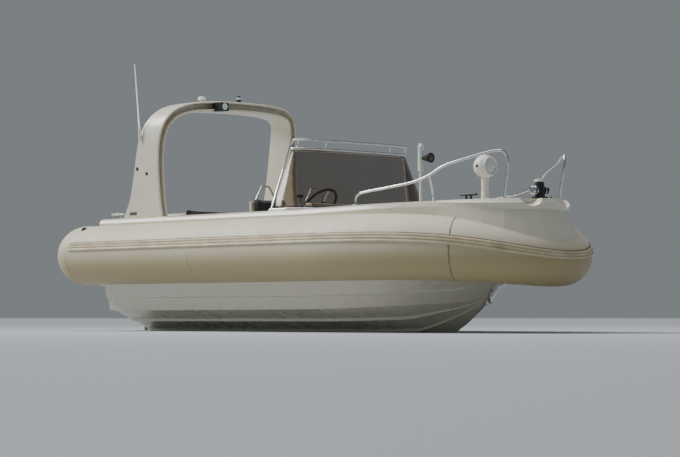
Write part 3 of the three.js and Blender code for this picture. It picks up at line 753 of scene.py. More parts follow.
def disc(
    place: Vector, axis: Vector, radius: float, height: float, crown: float = 0.0, steps: int = 32,
) -> bmesh.types.BMesh:
    """Turns a disc with a rounded edge.

    Args:
        place: the middle of its foot.
        axis: the direction that it stands in.
        radius: its radius.
        height: its height at the edge.
        crown: how much higher its middle is.
        steps: faces round it.

    Returns:
        The disc.
    """
    edge = min(height, radius) * 0.4
    profile = [
        (0.0, 0.0), (radius, 0.0), (radius, height - edge), (radius - edge * 0.3, height - edge * 0.3),
        (radius - edge, height), (radius * 0.5, height + crown * 0.75), (0.0, height + crown),
    ]
    return turned(profile, frame_at(place, axis), steps)


def around(centre: Vector, radius: float, angles: Iterable[float]) -> list[Vector]:
    """Returns the points of a level circle at some angles, in radians."""
    return [centre + Vector((radius * math.cos(a), radius * math.sin(a), 0)) for a in angles]


def screws(places: Iterable[Vector], axis: Vector, radius: float = 0.004) -> list[bmesh.types.BMesh]:
    """Makes a domed screw head at each place."""
    return [disc(place, axis, radius, 0.0015, 0.0015, 12) for place in places]


def joined(forms: Iterable[bmesh.types.BMesh]) -> bmesh.types.BMesh:
    """Puts several forms into one and uses them up."""
    whole = bmesh.new()
    for form in forms:
        part = bpy.data.meshes.new("part")
        form.to_mesh(part)
        form.free()
        whole.from_mesh(part)
        bpy.data.meshes.remove(part)
    return whole


# The studio


@dataclass
class Studio:
    """A pale floor at the waterline, soft light from above and the photograph's camera."""

    azimuth: float = 47.5
    distance: float = 22.0
    eye_height: float = 0.16
    lens: float = 120.0
    aim: Vector = field(default_factory=lambda: Vector((-0.12, 0.0, 1.0)))
    floor_radius: float = 90.0
    floor_colour: int = 0xB9BFC4
    sky_colour: int = 0xC9D0D6
    sky_strength: float = 0.34
    key_place: Place = (-8.0, -5.5, 8.0)
    key_strength: float = 3.0
    key_spread: float = 30.0
    softbox_place: Place = (-1.0, -1.0, 9.0)
    softbox_target: Place = (0.0, 0.0, 0.5)
    softbox_size: float = 8.0
    softbox_power: float = 500.0

    def build(self) -> None:
        """Makes the camera, the floor, the light and the sky."""
        self._camera()
        self._floor()
        self._key()
        self._softbox()
        self._sky()

    def _camera(self) -> None:
        """Makes the camera at floor level, off the starboard bow."""
        data = bpy.data.cameras.new("camera")
        data.lens = self.lens
        turn = math.radians(self.azimuth)
        x = self.aim.x + self.distance * math.sin(turn)
        y = self.aim.y - self.distance * math.cos(turn)
        bpy.context.scene.camera = self._aimed(data, (x, y, self.eye_height), self.aim)

    def _floor(self) -> None:
        """Lays the floor at the waterline."""
        form = bmesh.new()
        bmesh.ops.create_circle(form, cap_ends=True, segments=96, radius=self.floor_radius)
        mesh = bpy.data.meshes.new("studio_floor")
        form.to_mesh(mesh)
        form.free()
        floor = bpy.data.objects.new("studio_floor", mesh)
        bpy.context.scene.collection.objects.link(floor)
        paint = bpy.data.materials.new("floor_paint")
        paint.use_nodes = True
        shader = paint.node_tree.nodes["Principled BSDF"]
        shader.inputs["Base Color"].default_value = linear(self.floor_colour)
        shader.inputs["Roughness"].default_value = 0.7
        mesh.materials.append(paint)

    def _key(self) -> None:
        """Sets the broad key light, high over the starboard quarter."""
        data = bpy.data.lights.new("broad_key", "SUN")
        data.energy, data.angle = self.key_strength, math.radians(self.key_spread)
        self._aimed(data, self.key_place, (0, 0, 0))

    def _softbox(self) -> None:
        """Hangs a softbox over the boat, unseen by the camera."""
        data = bpy.data.lights.new("overhead_softbox", "AREA")
        data.size, data.energy = self.softbox_size, self.softbox_power
        self._aimed(data, self.softbox_place, self.softbox_target).visible_camera = False

    def _sky(self) -> None:
        """Makes the pale surroundings."""
        world = bpy.data.worlds.new("pale_studio")
        world.use_nodes = True
        background = world.node_tree.nodes["Background"]
        background.inputs["Color"].default_value = linear(self.sky_colour)
        background.inputs["Strength"].default_value = self.sky_strength
        bpy.context.scene.world = world

    @staticmethod
    def _aimed(data: bpy.types.ID, place: Place, target: Place | Vector) -> bpy.types.Object:
        """Puts a camera or a lamp in its place, turned to its target, and returns it."""
        made = bpy.data.objects.new(data.name, data)
        bpy.context.scene.collection.objects.link(made)
        made.location = place
        made.rotation_mode = "QUATERNION"
        made.rotation_quaternion = (Vector(target) - made.location).to_track_quat("-Z", "Y")
        return made


# The collar


@dataclass
class Station:
    """A cross-section of the collar."""

    centre: Vector
    outward: Vector
    radius: float

    def skin(self, degrees: float, proud: float = 0.0) -> Vector:
        """Returns the point on the skin at an angle above outboard, lifted off it by proud."""
        angle = math.radians(degrees)
        reach = self.radius + proud
        lift = Vector((0, 0, reach * math.sin(angle)))
        return self.centre + self.outward * (reach * math.cos(angle)) + lift

    def ring(self, facets: int, proud: float = 0.0) -> list[Vector]:
        """Returns the points of a ring round the skin."""
        return [self.skin(360 * k / facets, proud) for k in range(facets)]


@dataclass
class Collar:
    """The inflated collar: two side chambers with rounded ends, a bow chamber, tapes and the strake.

    Places along it run from the port side's stern forward (below 0, in metres aft of the bend), round the bow
    (0 to 2, with the tip at 1) and aft again on the starboard side (above 2).
    """

    radius: float = 0.300
    half_span: float = 1.000
    height: float = above_keel(0.890)
    end_x: float = -2.870
    end_length: float = 0.330
    bend_x: float = 0.700
    bend_pull: tuple[float, float] = (1.620, 0.500)  # the bend's two control points: X of one, Y of the other
    tip_x: float = 2.640
    tip_radius: float = 0.215
    tip_height: float = above_keel(0.745)
    taper: float = 2.5
    seam: float = 0.54
    facets: int = 64
    strake_angle: float = 15.0
    strake_end: float = -3.500

    def at(self, place: float) -> Station:
        """Returns the cross-section at a place along the collar."""
        side = PORT if place <= 1 else STARBOARD
        place = place if place <= 1 else 2 - place
        if place <= 0:
            centre = Vector((self.bend_x + place, side * self.half_span, self.height))
            return Station(centre, Vector((0, side, 0)), self.radius)
        pull_x, pull_y = self.bend_pull
        span, tip_x = self.half_span, self.tip_x
        corners = [(self.bend_x, span), (pull_x, span), (tip_x, pull_y), (tip_x, 0.0)]
        a, b = 1 - place, place
        weights = (a ** 3, 3 * a * a * b, 3 * a * b * b, b ** 3)
        x, y = (sum(w * c[k] for w, c in zip(weights, corners)) for k in (0, 1))
        steps = list(zip((a * a, 2 * a * b, b * b), corners, corners[1:]))
        dx, dy = (sum(s * (q[k] - p[k]) for s, p, q in steps) for k in (0, 1))
        outward = Vector((-dy, dx, 0)).normalized()
        share = (place * place * (3 - 2 * place)) ** self.taper
        return Station(
            Vector((x, side * y, self.height + (self.tip_height - self.height) * share)),
            Vector((outward.x, side * outward.y, 0)),
            self.radius + (self.tip_radius - self.radius) * share,
        )

    def run(self, start: float, end: float, count: int) -> list[Station]:
        """Returns evenly placed cross-sections from start to end."""
        return [self.at(start + (end - start) * k / (count - 1)) for k in range(count)]

    def _round_end(self, side: int) -> list[Station]:
        """Returns the cross-sections of a rounded stern end, from its tip forward."""
        made = []
        for degrees in range(86, 0, -6):
            angle = math.radians(degrees)
            x = self.end_x - self.end_length * math.sin(angle)
            centre = Vector((x, side * self.half_span, self.height))
            made.append(Station(centre, Vector((0, side, 0)), self.radius * math.cos(angle)))
        return made

    def build(self) -> None:
        """Makes the chambers, their tapes and the strake."""
        aft = self.end_x - self.bend_x
        port = self._round_end(PORT) + self.run(aft, 0, 10) + self.run(0, self.seam, 20)[1:]
        far = self.run(2 - aft, 2, 10) + self.run(2, 2 - self.seam, 20)[1:]
        starboard = self._round_end(STARBOARD) + far
        bow = self.run(self.seam, 2 - self.seam, 49)
        cloth = CoatedCloth()
        for name, stations in (("port", port), ("starboard", starboard), ("bow", bow)):
            skin = loft([station.ring(self.facets) for station in stations])
            piece(skin, f"collar_chamber_{name}", "boat", cloth, (f"tube_{name}",), sharp=60)
        for name, place, half_width, finish in (
            ("seam", self.seam, 0.0027, SeamTape()),
            ("end_tape", aft, 0.0225, cloth),
            ("mid_tape", -1.6, 0.0225, cloth),
        ):
            self._tape(f"port_{name}", place, half_width, finish)
            self._tape(f"starboard_{name}", 2 - place, half_width, finish)
        self._strake()

    def _tape(self, name: str, place: float, half_width: float, finish: Finish) -> None:
        """Glues a tape round the collar, as wide as twice a half width, in the collar's own places."""
        thickness = 0.0015
        rows = ((-1.0, 0.0), (-0.85, thickness), (0.85, thickness), (1.0, 0.0))
        rings = [self.at(place + half_width * share).ring(self.facets, proud) for share, proud in rows]
        piece(loft(rings, capped=False), f"collar_{name}", "boat", finish, sharp=60)

    def _strake(self) -> None:
        """Extrudes the ribbed strake and, along its upper edge, a dark line of painted shadow, from stern to
        stern round the bow.
        """
        side_rings, bow_rings = 9, 64
        places = [self.strake_end * (1 - k / side_rings) for k in range(side_rings)]
        places += [2 * k / bow_rings for k in range(bow_rings + 1)]
        places += [2 - self.strake_end * k / side_rings for k in range(1, side_rings + 1)]
        # Degrees above the strake's middle, and how far it stands off the skin
        upper = [
            (0.9, 0.019), (1.9, 0.012), (3.6, 0.012), (4.6, 0.018), (6.4, 0.018), (7.6, 0.013), (8.0, -0.002),
        ]
        ribs = [(-row, proud) for row, proud in reversed(upper)] + upper
        # A painted shadow line: dark rubber just above the strake's upper edge, where the crease between
        # strake and tube lies in shade
        line = [(8.1, -0.002), (8.2, 0.008), (9.6, 0.008), (9.9, -0.002)]
        for name, section, finish, replaced in (
            ("rubbing_strake", ribs, ExtrudedRubber(), ("rub_strake",)),
            ("strake_shadow_line", line, DarkRubber(), ()),
        ):
            rings = []
            for station in map(self.at, places):
                stretch = (self.radius / station.radius) ** 0.5
                rings.append([station.skin(self.strake_angle + row * stretch, out) for row, out in section])
            piece(loft(rings), name, "boat", finish, replaced, sharp=50)


# Hull and deck mouldings


@dataclass
class Mouldings:
    """The glass-fibre mouldings: hull, cockpit, foredeck, lids, bench, dashboard and swim platform."""

    edge: float = 0.012
    lid_edge: float = 0.006
    pad_rise: float = 0.0015
    sole_height: float = 0.530
    platform_height: float = 0.640
    platform_margins: tuple[float, float, float] = (0.07, 0.04, 0.05)  # aft, ahead, at the sides
    filler: Place = (-1.20, 0.80, above_keel(DECK_HEIGHT))

    def build(self) -> None:
        """Makes the mouldings and what is bonded or screwed to them."""
        gelcoat = MouldedGelcoat()
        dressed("hull", "hull_moulding", "boat", gelcoat, self.lid_edge, sharp=28)
        for node, name, body, rounding, segments in (
            ("cockpit", "cockpit_moulding", "boat", self.edge, 2),
            ("foredeck", "foredeck_moulding", "boat", self.lid_edge, 2),
            ("swim_platform", "swim_platform_moulding", "boat", self.edge, 3),
            ("aft_bench", "aft_bench_moulding", "boat", self.edge, 3),
            ("dashboard", "dashboard_moulding", "boat", 0.018, 4),
            ("engine_hatch", "engine_hatch_moulding", "hatch", 0.010, 3),
            ("anchor_locker_lid", "anchor_locker_moulding", "locker_lid", self.lid_edge, 2),
        ):
            dressed(node, name, body, gelcoat, rounding, segments=segments)
        dressed("cabin_hatch", "cabin_hatch_pane", "cabin_lid", HatchAcrylic(), 0.010, segments=3)
        dressed("engine", "engine_block", "boat", PaintedIron(), 0.03, segments=3)
        self._deck_pads()
        self._platform_decking()
        self._hatch_hinges()

    def _hatch_hinges(self) -> None:
        """Makes the engine hatch's hinges, and the fuel filler's cap in the side deck."""
        steel = PolishedStainless()
        low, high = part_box("engine_hatch")
        half, set_back = Vector((0, 0.045, 0)), 0.004
        middles = [Vector((low.x - set_back, y, high.z - set_back)) for y in (-0.42, 0.0, 0.42)]
        knuckles = [bar([middle - half, middle + half], 0.007) for middle in middles]
        piece(joined(knuckles), "engine_hatch_hinges", "hatch", steel, sharp=50)
        filler = Vector(self.filler)
        ring, cap = disc(filler, UP, 0.042, 0.005), disc(filler + UP * 0.004, UP, 0.030, 0.004, 0.001)
        piece(joined((ring, cap)), "fuel_filler", "boat", steel)

    def _deck_pads(self) -> None:
        """Lays the non-slip pads on the foredeck, the side decks and the sole."""
        studs = NonSlipGelcoat()
        areas = {
            "foredeck_pad_{}_1": [(0.50, 0.06), (0.92, 0.06), (0.92, 0.80), (0.50, 0.80)],
            "foredeck_pad_{}_2": [(1.09, 0.32), (1.74, 0.32), (1.74, 0.62), (1.09, 0.78)],
            "foredeck_pad_{}_3": [(1.93, 0.20), (2.36, 0.20), (2.30, 0.28), (1.93, 0.42)],
            "side_deck_pad_{}": [(-1.55, 0.72), (-0.15, 0.72), (-0.15, 0.86), (-1.55, 0.86)],
        }
        for side, sign in SIDES.items():
            for name, corners in areas.items():
                form = pad([(x, sign * y) for x, y in corners], deck_z, self.pad_rise, 0.03)
                piece(form, name.format(side), "boat", studs)
        sole = [(-1.26, -0.60), (0.28, -0.60), (0.28, 0.60), (-1.26, 0.60)]
        form = pad(sole, lambda x: above_keel(self.sole_height), self.pad_rise, 0.05)
        piece(form, "sole_pad", "boat", studs)

    def _platform_decking(self) -> None:
        """Lays three sheets of foam decking side by side on the swim platform."""
        low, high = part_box("swim_platform")
        aft, ahead, side = self.platform_margins
        x0, x1 = low.x + aft, high.x - ahead
        width, gap = (high.y - low.y - 2 * side) / 3, 0.02
        for k in range(3):
            start = low.y + side + gap / 2 + k * width
            end = start + width - gap
            outline = [(x0, start), (x1, start), (x1, end), (x0, end)]
            form = pad(outline, lambda x: above_keel(self.platform_height), 0.004, 0.02)
            piece(form, f"platform_decking_{k + 1}", "boat", FoamDecking())


# The screen and the arch


@dataclass
class Screen:
    """The wrap-around windscreen with its frame and handrail."""

    crease_degrees: float = 50.0

    def build(self) -> None:
        """Makes the pane and its frame."""
        smoothed("windscreen", "windscreen_pane", "boat", SmokedAcrylic(), self.crease_degrees)
        dressed("windscreen_frame", "windscreen_rails", "boat", PolishedStainless(), sharp=55)


@dataclass
class Arch:
    """The equipment arch and what stands on it."""

    leg_outside: float = 0.9255
    leg_middle: float = 0.888
    plugs: Spots = ((-2.14, 1.755), (-1.985, 1.700))  # x and height above the keel
    slot: tuple[float, float] = (-2.20, 1.305)
    bolt_x: tuple[float, float] = (-2.42, -1.70)

    def build(self) -> None:
        """Makes the arch, its lamps, receiver and antenna, and the plugs in its legs."""
        smoothed("arch", "arch_moulding", "boat", MouldedGelcoat(), 28.0)
        dressed("antenna", "whip_antenna", "boat", WhiteAsa(), sharp=50)
        dressed("all_round_light", "all_round_lamp", "boat", BlackAbs(), 0.003, sharp=50)
        dressed("satellite_receiver", "receiver_dome", "boat", WhiteAsa(), 0.006, segments=3)
        self._lamps()
        self._legs()

    def _lamps(self) -> None:
        """Makes the channel lamp, a rounded case with a round lens, and the all-round light's lens."""
        dressed("arch_lamp", "channel_lamp", "boat", BlackAbs(), 0.012, segments=4)
        low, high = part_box("arch_lamp")
        lens = Vector((high.x - 0.001, (low.y + high.y) / 2, (low.z + high.z) / 2))
        piece(disc(lens, AHEAD, 0.034, 0.004, 0.003), "channel_lamp_lens", "boat", ClearLens())
        low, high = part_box("all_round_light")
        lens = Vector(((low.x + high.x) / 2, (low.y + high.y) / 2, high.z - 0.034))
        piece(disc(lens, UP, 0.0205, 0.022), "all_round_lens", "boat", ClearLens())

    def _legs(self) -> None:
        """Makes the plugs over the legs' bolts and, for the drain slots at their feet, dark blocks of painted
        shade, on both sides.
        """
        for name, side in SIDES.items():
            out, face = Vector((0, side, 0)), side * (self.leg_outside + 0.001)
            plugs = [disc(Vector((x, face, above_keel(z))), out, 0.019, 0.005, 0.002) for x, z in self.plugs]
            piece(joined(plugs), f"arch_plugs_{name}", "boat", BlackAbs())
            # Painted shade: a dark rubber block stands where the drain slot's opening lies in shade
            at = Matrix.Translation((self.slot[0], face, above_keel(self.slot[1])))
            piece(rounded_block((0.12, 0.012, 0.036), at, 0.0055), f"arch_slot_shade_{name}", "boat", DarkRubber())
            bolts = [
                Vector((x, side * (self.leg_middle + across), above_keel(DECK_HEIGHT + 0.0002)))
                for x in self.bolt_x for across in (-0.02, 0.02)
            ]
            piece(joined(screws(bolts, UP, 0.007)), f"arch_bolts_{name}", "boat", PolishedStainless())


# Deck gear


@dataclass
class DeckGear:
    """Rails, cleats, lights, windlass, horn, hatch fittings and the hull's fittings."""

    rail_feet: Spots = ((1.049, 0.878), (1.840, 0.656), (2.405, 0.355), (-0.100, 0.905))
    post_x: float = 1.000
    horn_height: float = 1.745
    searchlight_x: float = 1.830
    searchlight_radius: float = 0.106
    windlass_x: float = 2.500
    ladder_y: float = -0.480
    rungs: tuple[float, ...] = (0.130, 0.260, 0.385)  # their places ahead of the folded ladder's aft end
    transom_x: float = -2.750
    four_screws: tuple[float, ...] = (0.8, 2.4, 3.9, 5.5)  # their angles round a foot
    three_screws: tuple[float, ...] = (0.5, 2.6, 4.7)

    def build(self) -> None:
        """Makes the gear."""
        steel, black, white = PolishedStainless(), BlackAbs(), WhiteAsa()
        for side in SIDES:
            dressed(f"bow_rail_{side}", f"bow_handrail_{side}", "boat", steel, sharp=55)
            dressed(f"cleat_bow_{side}", f"bow_cleat_{side}", "boat", black, 0.003, sharp=50)
            dressed(f"cleat_stern_{side}", f"stern_cleat_{side}", "boat", steel, 0.003, sharp=50)
        dressed("light_post", "masthead_post", "boat", white, 0.003, sharp=50)
        dressed("horn", "horn_trumpet", "boat", black, sharp=50)
        dressed("searchlight_base", "searchlight_foot", "boat", white, 0.004, sharp=50)
        dressed("windlass", "windlass_body", "boat", black, 0.004, sharp=50)
        dressed("boarding_ladder", "ladder_frame", "ladder", steel, sharp=55)
        dressed("ladder_bracket", "ladder_hinge", "boat", steel, 0.003)
        self._masthead()
        self._searchlight()
        self._windlass()
        self._rail_feet()
        self._hatch()
        self._ladder_treads()
        self._hull_fittings()
        self._valves()

    def _masthead(self) -> None:
        """Makes the masthead light's lens, its foot's screws and the horn's grille."""
        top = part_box("light_post")[1].z
        profile = [
            (0.0, 0.0), (0.0295, 0.0), (0.0295, 0.006), (0.0285, 0.012), (0.0285, 0.09), (0.0295, 0.096),
            (0.0295, 0.102), (0.0, 0.102),
        ]
        lens = turned(profile, frame_at(Vector((self.post_x, 0, top - 0.135)), UP))
        piece(lens, "masthead_lens", "boat", ClearLens())
        foot = Vector((self.post_x, 0, deck_z(self.post_x) + 0.0079))
        heads = screws(around(foot, 0.031, self.four_screws), UP)
        piece(joined(heads), "masthead_screws", "boat", PolishedStainless())
        mouth = Vector((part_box("horn")[1].x - 0.012, 0, above_keel(self.horn_height)))
        piece(disc(mouth, AHEAD, 0.030, 0.013, 0.004), "horn_grille", "boat", DarkRubber())

    def _searchlight(self) -> None:
        """Makes the searchlight: a round shell with a bezel, its lens, its knobs and its turning stem."""
        low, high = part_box("searchlight")
        radius = self.searchlight_radius
        centre = Vector((self.searchlight_x, 0, high.z - radius - 0.002))
        arc = [(radius * math.sin(a), -radius * math.cos(a)) for a in (k * math.pi / 16 for k in range(13))]
        bezel = [(0.086, 0.066), (0.086, 0.074), (0.081, 0.078), (0.076, 0.074), (0.074, 0.062), (0.0, 0.062)]
        head = turned(arc + bezel, frame_at(centre, AHEAD), 48)
        profile = [
            (0.0, 0.0), (0.033, 0.0), (0.036, 0.006), (0.034, 0.03), (0.036, 0.10), (0.043, 0.135),
            (0.0, 0.16),
        ]
        stem = turned(profile, frame_at(Vector((self.searchlight_x, 0, low.z + 0.0002)), UP))
        piece(joined((head, stem)), "searchlight_head", "lamp", WhiteAsa(), ("searchlight",), sharp=40)
        lens = disc(centre + AHEAD * 0.0615, AHEAD, 0.073, 0.004, 0.010, 48)
        piece(lens, "searchlight_lens", "lamp", ClearLens())
        outs = [Vector((0, side, 0)) for side in SIDES.values()]
        knobs = [disc(centre + out * 0.100, out, 0.014, 0.010, 0.002) for out in outs]
        piece(joined(knobs), "searchlight_knobs", "lamp", BlackAbs())

    def _windlass(self) -> None:
        """Makes the windlass's white cap, the gipsy's flanges and its deck screws."""
        foot = Vector((self.windlass_x, 0, deck_z(self.windlass_x)))
        cap = Vector((self.windlass_x, 0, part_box("windlass")[1].z - 0.022))
        piece(disc(cap, UP, 0.047, 0.022, 0.006), "windlass_cap", "boat", WhiteAsa())
        outs = [Vector((0, side, 0)) for side in SIDES.values()]
        axle = foot + UP * 0.078
        reaches = (0.052, 0.086)
        flanges = [disc(axle + out * reach, out, 0.038, 0.010, 0.001) for out in outs for reach in reaches]
        piece(joined(flanges), "windlass_flanges", "boat", PolishedStainless())
        heads = screws(around(foot + UP * 0.0218, 0.060, self.four_screws), UP)
        piece(joined(heads), "windlass_screws", "boat", PolishedStainless())

    def _rail_feet(self) -> None:
        """Makes the round flanges, each with three screws, under the bow rails and the screen's struts."""
        flanges, heads = [], []
        for x, y in self.rail_feet:
            for side in SIDES.values():
                foot = Vector((x, side * y, deck_z(x) + 0.0002))
                flanges.append(disc(foot, UP, 0.030, 0.006))
                heads += screws(around(foot + UP * 0.0058, 0.022, self.three_screws), UP)
        piece(joined(flanges + heads), "rail_flanges", "boat", PolishedStainless())

    def _hatch(self) -> None:
        """Makes the cabin hatch's latches and hinges, and the anchor locker's latch."""
        low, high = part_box("cabin_hatch")
        aft, ahead = low.x + 0.05, high.x
        places = [Vector((aft, side * 0.15, high.z - 0.0105)) for side in SIDES.values()]
        latches = [disc(place, UP, 0.020, 0.006, 0.002) for place in places]
        piece(joined(latches), "hatch_latches", "cabin_lid", BlackAbs())
        half = Vector((0, 0.035, 0))
        middles = [Vector((ahead, side * 0.16, deck_z(ahead) + 0.0005)) for side in SIDES.values()]
        hinges = [bar([middle - half, middle + half], 0.0075, 24) for middle in middles]
        piece(joined(hinges), "hatch_hinges", "cabin_lid", PolishedStainless(), sharp=50)
        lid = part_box("anchor_locker_lid")[1]
        latch = disc(Vector((lid.x - 0.05, 0, lid.z - 0.0015)), UP, 0.026, 0.003)
        piece(latch, "locker_latch", "locker_lid", PolishedStainless())

    def _ladder_treads(self) -> None:
        """Makes the rubber treads on the ladder's rungs."""
        aft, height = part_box("boarding_ladder")[0].x + 0.012, above_keel(0.662)
        places = [Matrix.Translation((aft + along, self.ladder_y, height)) for along in self.rungs]
        treads = [rounded_block((0.034, 0.235, 0.027), place, 0.008) for place in places]
        piece(joined(treads), "ladder_treads", "ladder", BlackAbs())

    @staticmethod
    def _eye(root: Vector, out: Vector, along: Vector, stand: float) -> bmesh.types.BMesh:
        """Bends a bar into an eye on a surface.

        Args:
            root: the middle of its foot.
            out: the direction out of the surface.
            along: the direction from one end to the other.
            stand: how far its straight ends stand out.

        Returns:
            The eye.
        """
        half, reach, sunk = 0.028, 0.030, 0.02
        arc = [
            root + out * (reach * math.sin(a) + stand) - along * (half * math.cos(a))
            for a in (math.pi * k / 12 for k in range(13))
        ]
        foot = root - out * sunk
        return bar([foot - along * half, *arc, foot + along * half], 0.006)

    def _hull_fittings(self) -> None:
        """Makes the bow eye, the transom's towing eyes and the drain's cover."""
        stem = Vector((1.876, 0, above_keel(0.490)))
        out, along = Vector((0.85, 0, -0.5)).normalized(), Vector((0.5, 0, 0.85)).normalized()
        eyes = [self._eye(stem, out, along, 0.012)]
        for side in SIDES.values():
            eyes.append(self._eye(Vector((self.transom_x, side * 0.52, above_keel(0.52))), AFT, UP, 0.010))
        piece(joined(eyes), "towing_eyes", "boat", PolishedStainless(), sharp=50)
        drain = disc(Vector((self.transom_x, -0.22, above_keel(0.16))), AFT, 0.030, 0.006, 0.002)
        piece(drain, "drain_cover", "boat", PolishedStainless())

    def _valves(self) -> None:
        """Makes an inflation valve, with its cap, on the inner top of each chamber."""
        collar, forms = Collar(), []
        for place, degrees in ((-3.45, 62), (5.45, 62), (0.60, 74)):
            station = collar.at(place)
            foot = station.skin(degrees, -0.002)
            out = (foot - station.centre).normalized()
            forms.append(disc(foot, out, 0.032, 0.007, 0.002))
            forms.append(disc(foot + out * 0.006, out, 0.021, 0.012, 0.002))
        piece(joined(forms), "inflation_valves", "boat", BlackAbs())


# Upholstery


@dataclass
class Cushion:
    """A padded piece, blown up inside its solid by a cloth simulation."""

    node: str
    name: str
    body: str
    finish: Finish
    voxel: float = 0.006
    swell: float = 0.014
    fill: float = 0.85
    pressure: float = 4.0
    stiffness: float = 30.0
    frames: int = 20
    channels: tuple[float, ...] = ()
    channel_half_width: float = 0.022
    channel_depth: float = 0.007
    inset: float = 1.2  # how much smaller the flat cover is than its solid, in swells
    least_side: float = 0.05  # a thinner solid is treated as this thick

    def build(self) -> None:
        """Makes the padded piece and puts it in its solid's place."""
        form = node_form(self.node)
        low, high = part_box(self.node)
        centre, size = (low + high) / 2, high - low
        shrink = [1 - self.inset * self.swell / max(side, self.least_side) for side in size]
        there, back = Matrix.Translation(centre), Matrix.Translation(-centre)
        form.transform(there @ Matrix.Diagonal((*shrink, 1)) @ back)
        bmesh.ops.triangulate(form, faces=form.faces)
        made = piece(form, self.name, self.body, self.finish, (self.node,), sharp=180)
        remesh = made.modifiers.new("even_mesh", "REMESH")
        remesh.mode, remesh.voxel_size = "VOXEL", self.voxel
        self._keep_shape(made)
        rest = [vertex.co.copy() for vertex in made.data.vertices]
        self._inflate(made)
        self._settle(made, rest, low, high)
        made.data.shade_smooth()
        subdivision = made.modifiers.new("smooth_curves", "SUBSURF")
        subdivision.levels = subdivision.render_levels = 1

    @staticmethod
    def _keep_shape(made: bpy.types.Object) -> None:
        """Applies the modifiers as they stand in this frame."""
        graph = bpy.context.evaluated_depsgraph_get()
        mesh = bpy.data.meshes.new_from_object(made.evaluated_get(graph))
        made.modifiers.clear()
        made.data = mesh

    def _inflate(self, made: bpy.types.Object) -> None:
        """Blows the cover up by air pressure, without gravity."""
        scene = bpy.context.scene
        scene.frame_set(1)
        cloth = made.modifiers.new("Cloth", "CLOTH")
        cloth.settings.use_pressure = True
        cloth.settings.uniform_pressure_force = self.pressure
        cloth.settings.effector_weights.gravity = 0.0
        cloth.settings.quality = 4
        cloth.settings.tension_stiffness = cloth.settings.compression_stiffness = self.stiffness
        for step in range(1, self.frames + 1):
            scene.frame_set(step)
        self._keep_shape(made)
        scene.frame_set(1)

    def _settle(self, made: bpy.types.Object, rest: list[Vector], low: Vector, high: Vector) -> None:
        """Caps how far each point has moved, sews the channels and keeps all of it in the solid's box.

        Args:
            made: the inflated piece.
            rest: its points before they moved.
            low: the box's low corner.
            high: the box's high corner.
        """
        normals = [vertex.normal.copy() for vertex in made.data.vertices]
        for vertex, start, normal in zip(made.data.vertices, rest, normals):
            moved = vertex.co - start
            if moved.length > self.swell:
                moved.length = self.swell
            place = start + moved
            across = place.y
            for channel in self.channels:
                near = 1 - abs(across - channel) / self.channel_half_width
                if near > 0:
                    place -= normal * (self.channel_depth * near * near * (3 - 2 * near))
            vertex.co = [min(max(place[k], low[k]), high[k]) for k in range(3)]


@dataclass
class Seating:
    """Seats, the aft bench's pads and the sunpad."""

    seat_y: float = 0.33
    channel_y: float = 0.1
    pedestal_x: float = -0.62

    def build(self) -> None:
        """Makes the seats and the pads."""
        cream, black = CreamVinyl(), BlackVinyl()
        for side, sign in SIDES.items():
            body, middle = f"seat_{side}", sign * self.seat_y
            dressed(f"seat_pedestal_{side}", f"pedestal_{side}", "boat", PolishedStainless(), 0.004, sharp=50)
            dressed(f"seat_shell_{side}", f"bucket_{side}", body, MouldedGelcoat(), 0.014, segments=4)
            sewn = (middle - self.channel_y, middle + self.channel_y)
            Cushion(f"seat_cushion_{side}", f"squab_{side}", body, cream, channels=sewn).build()
            Cushion(f"seat_backrest_{side}", f"back_pad_{side}", body, black, channels=sewn).build()
            self._handle(side, middle)
            ring = disc(Vector((self.pedestal_x, middle, above_keel(0.545))), UP, 0.052, 0.020)
            piece(ring, f"pedestal_collar_{side}", "boat", BlackAbs())
        thirds = (-0.213, 0.213)
        quarters = (-0.31, 0.0, 0.31)
        Cushion("bench_cushion", "bench_squab", "boat", cream, 0.009, 0.018, channels=thirds).build()
        Cushion("bench_backrest", "bench_back_pad", "boat", black, 0.009, 0.016, channels=thirds).build()
        Cushion(
            "sunpad", "sunpad_mattress", "hatch", cream, 0.012, 0.020, channels=quarters, channel_depth=0.010,
        ).build()

    @staticmethod
    def _handle(side: str, middle: float) -> None:
        """Bends the grab handle over a seat's back, from its foot on one side to the one on the other."""
        half = [
            (-0.836, -0.13, 1.385), (-0.838, -0.13, 1.405), (-0.850, -0.05, 1.545), (-0.850, -0.035, 1.545),
        ]
        path = half + [(x, -across, z) for x, across, z in reversed(half)]
        grab = bar([Vector((x, middle + across, above_keel(z))) for x, across, z in path], 0.010)
        piece(grab, f"seat_grab_handle_{side}", f"seat_{side}", PolishedStainless(), sharp=50)


# The helm


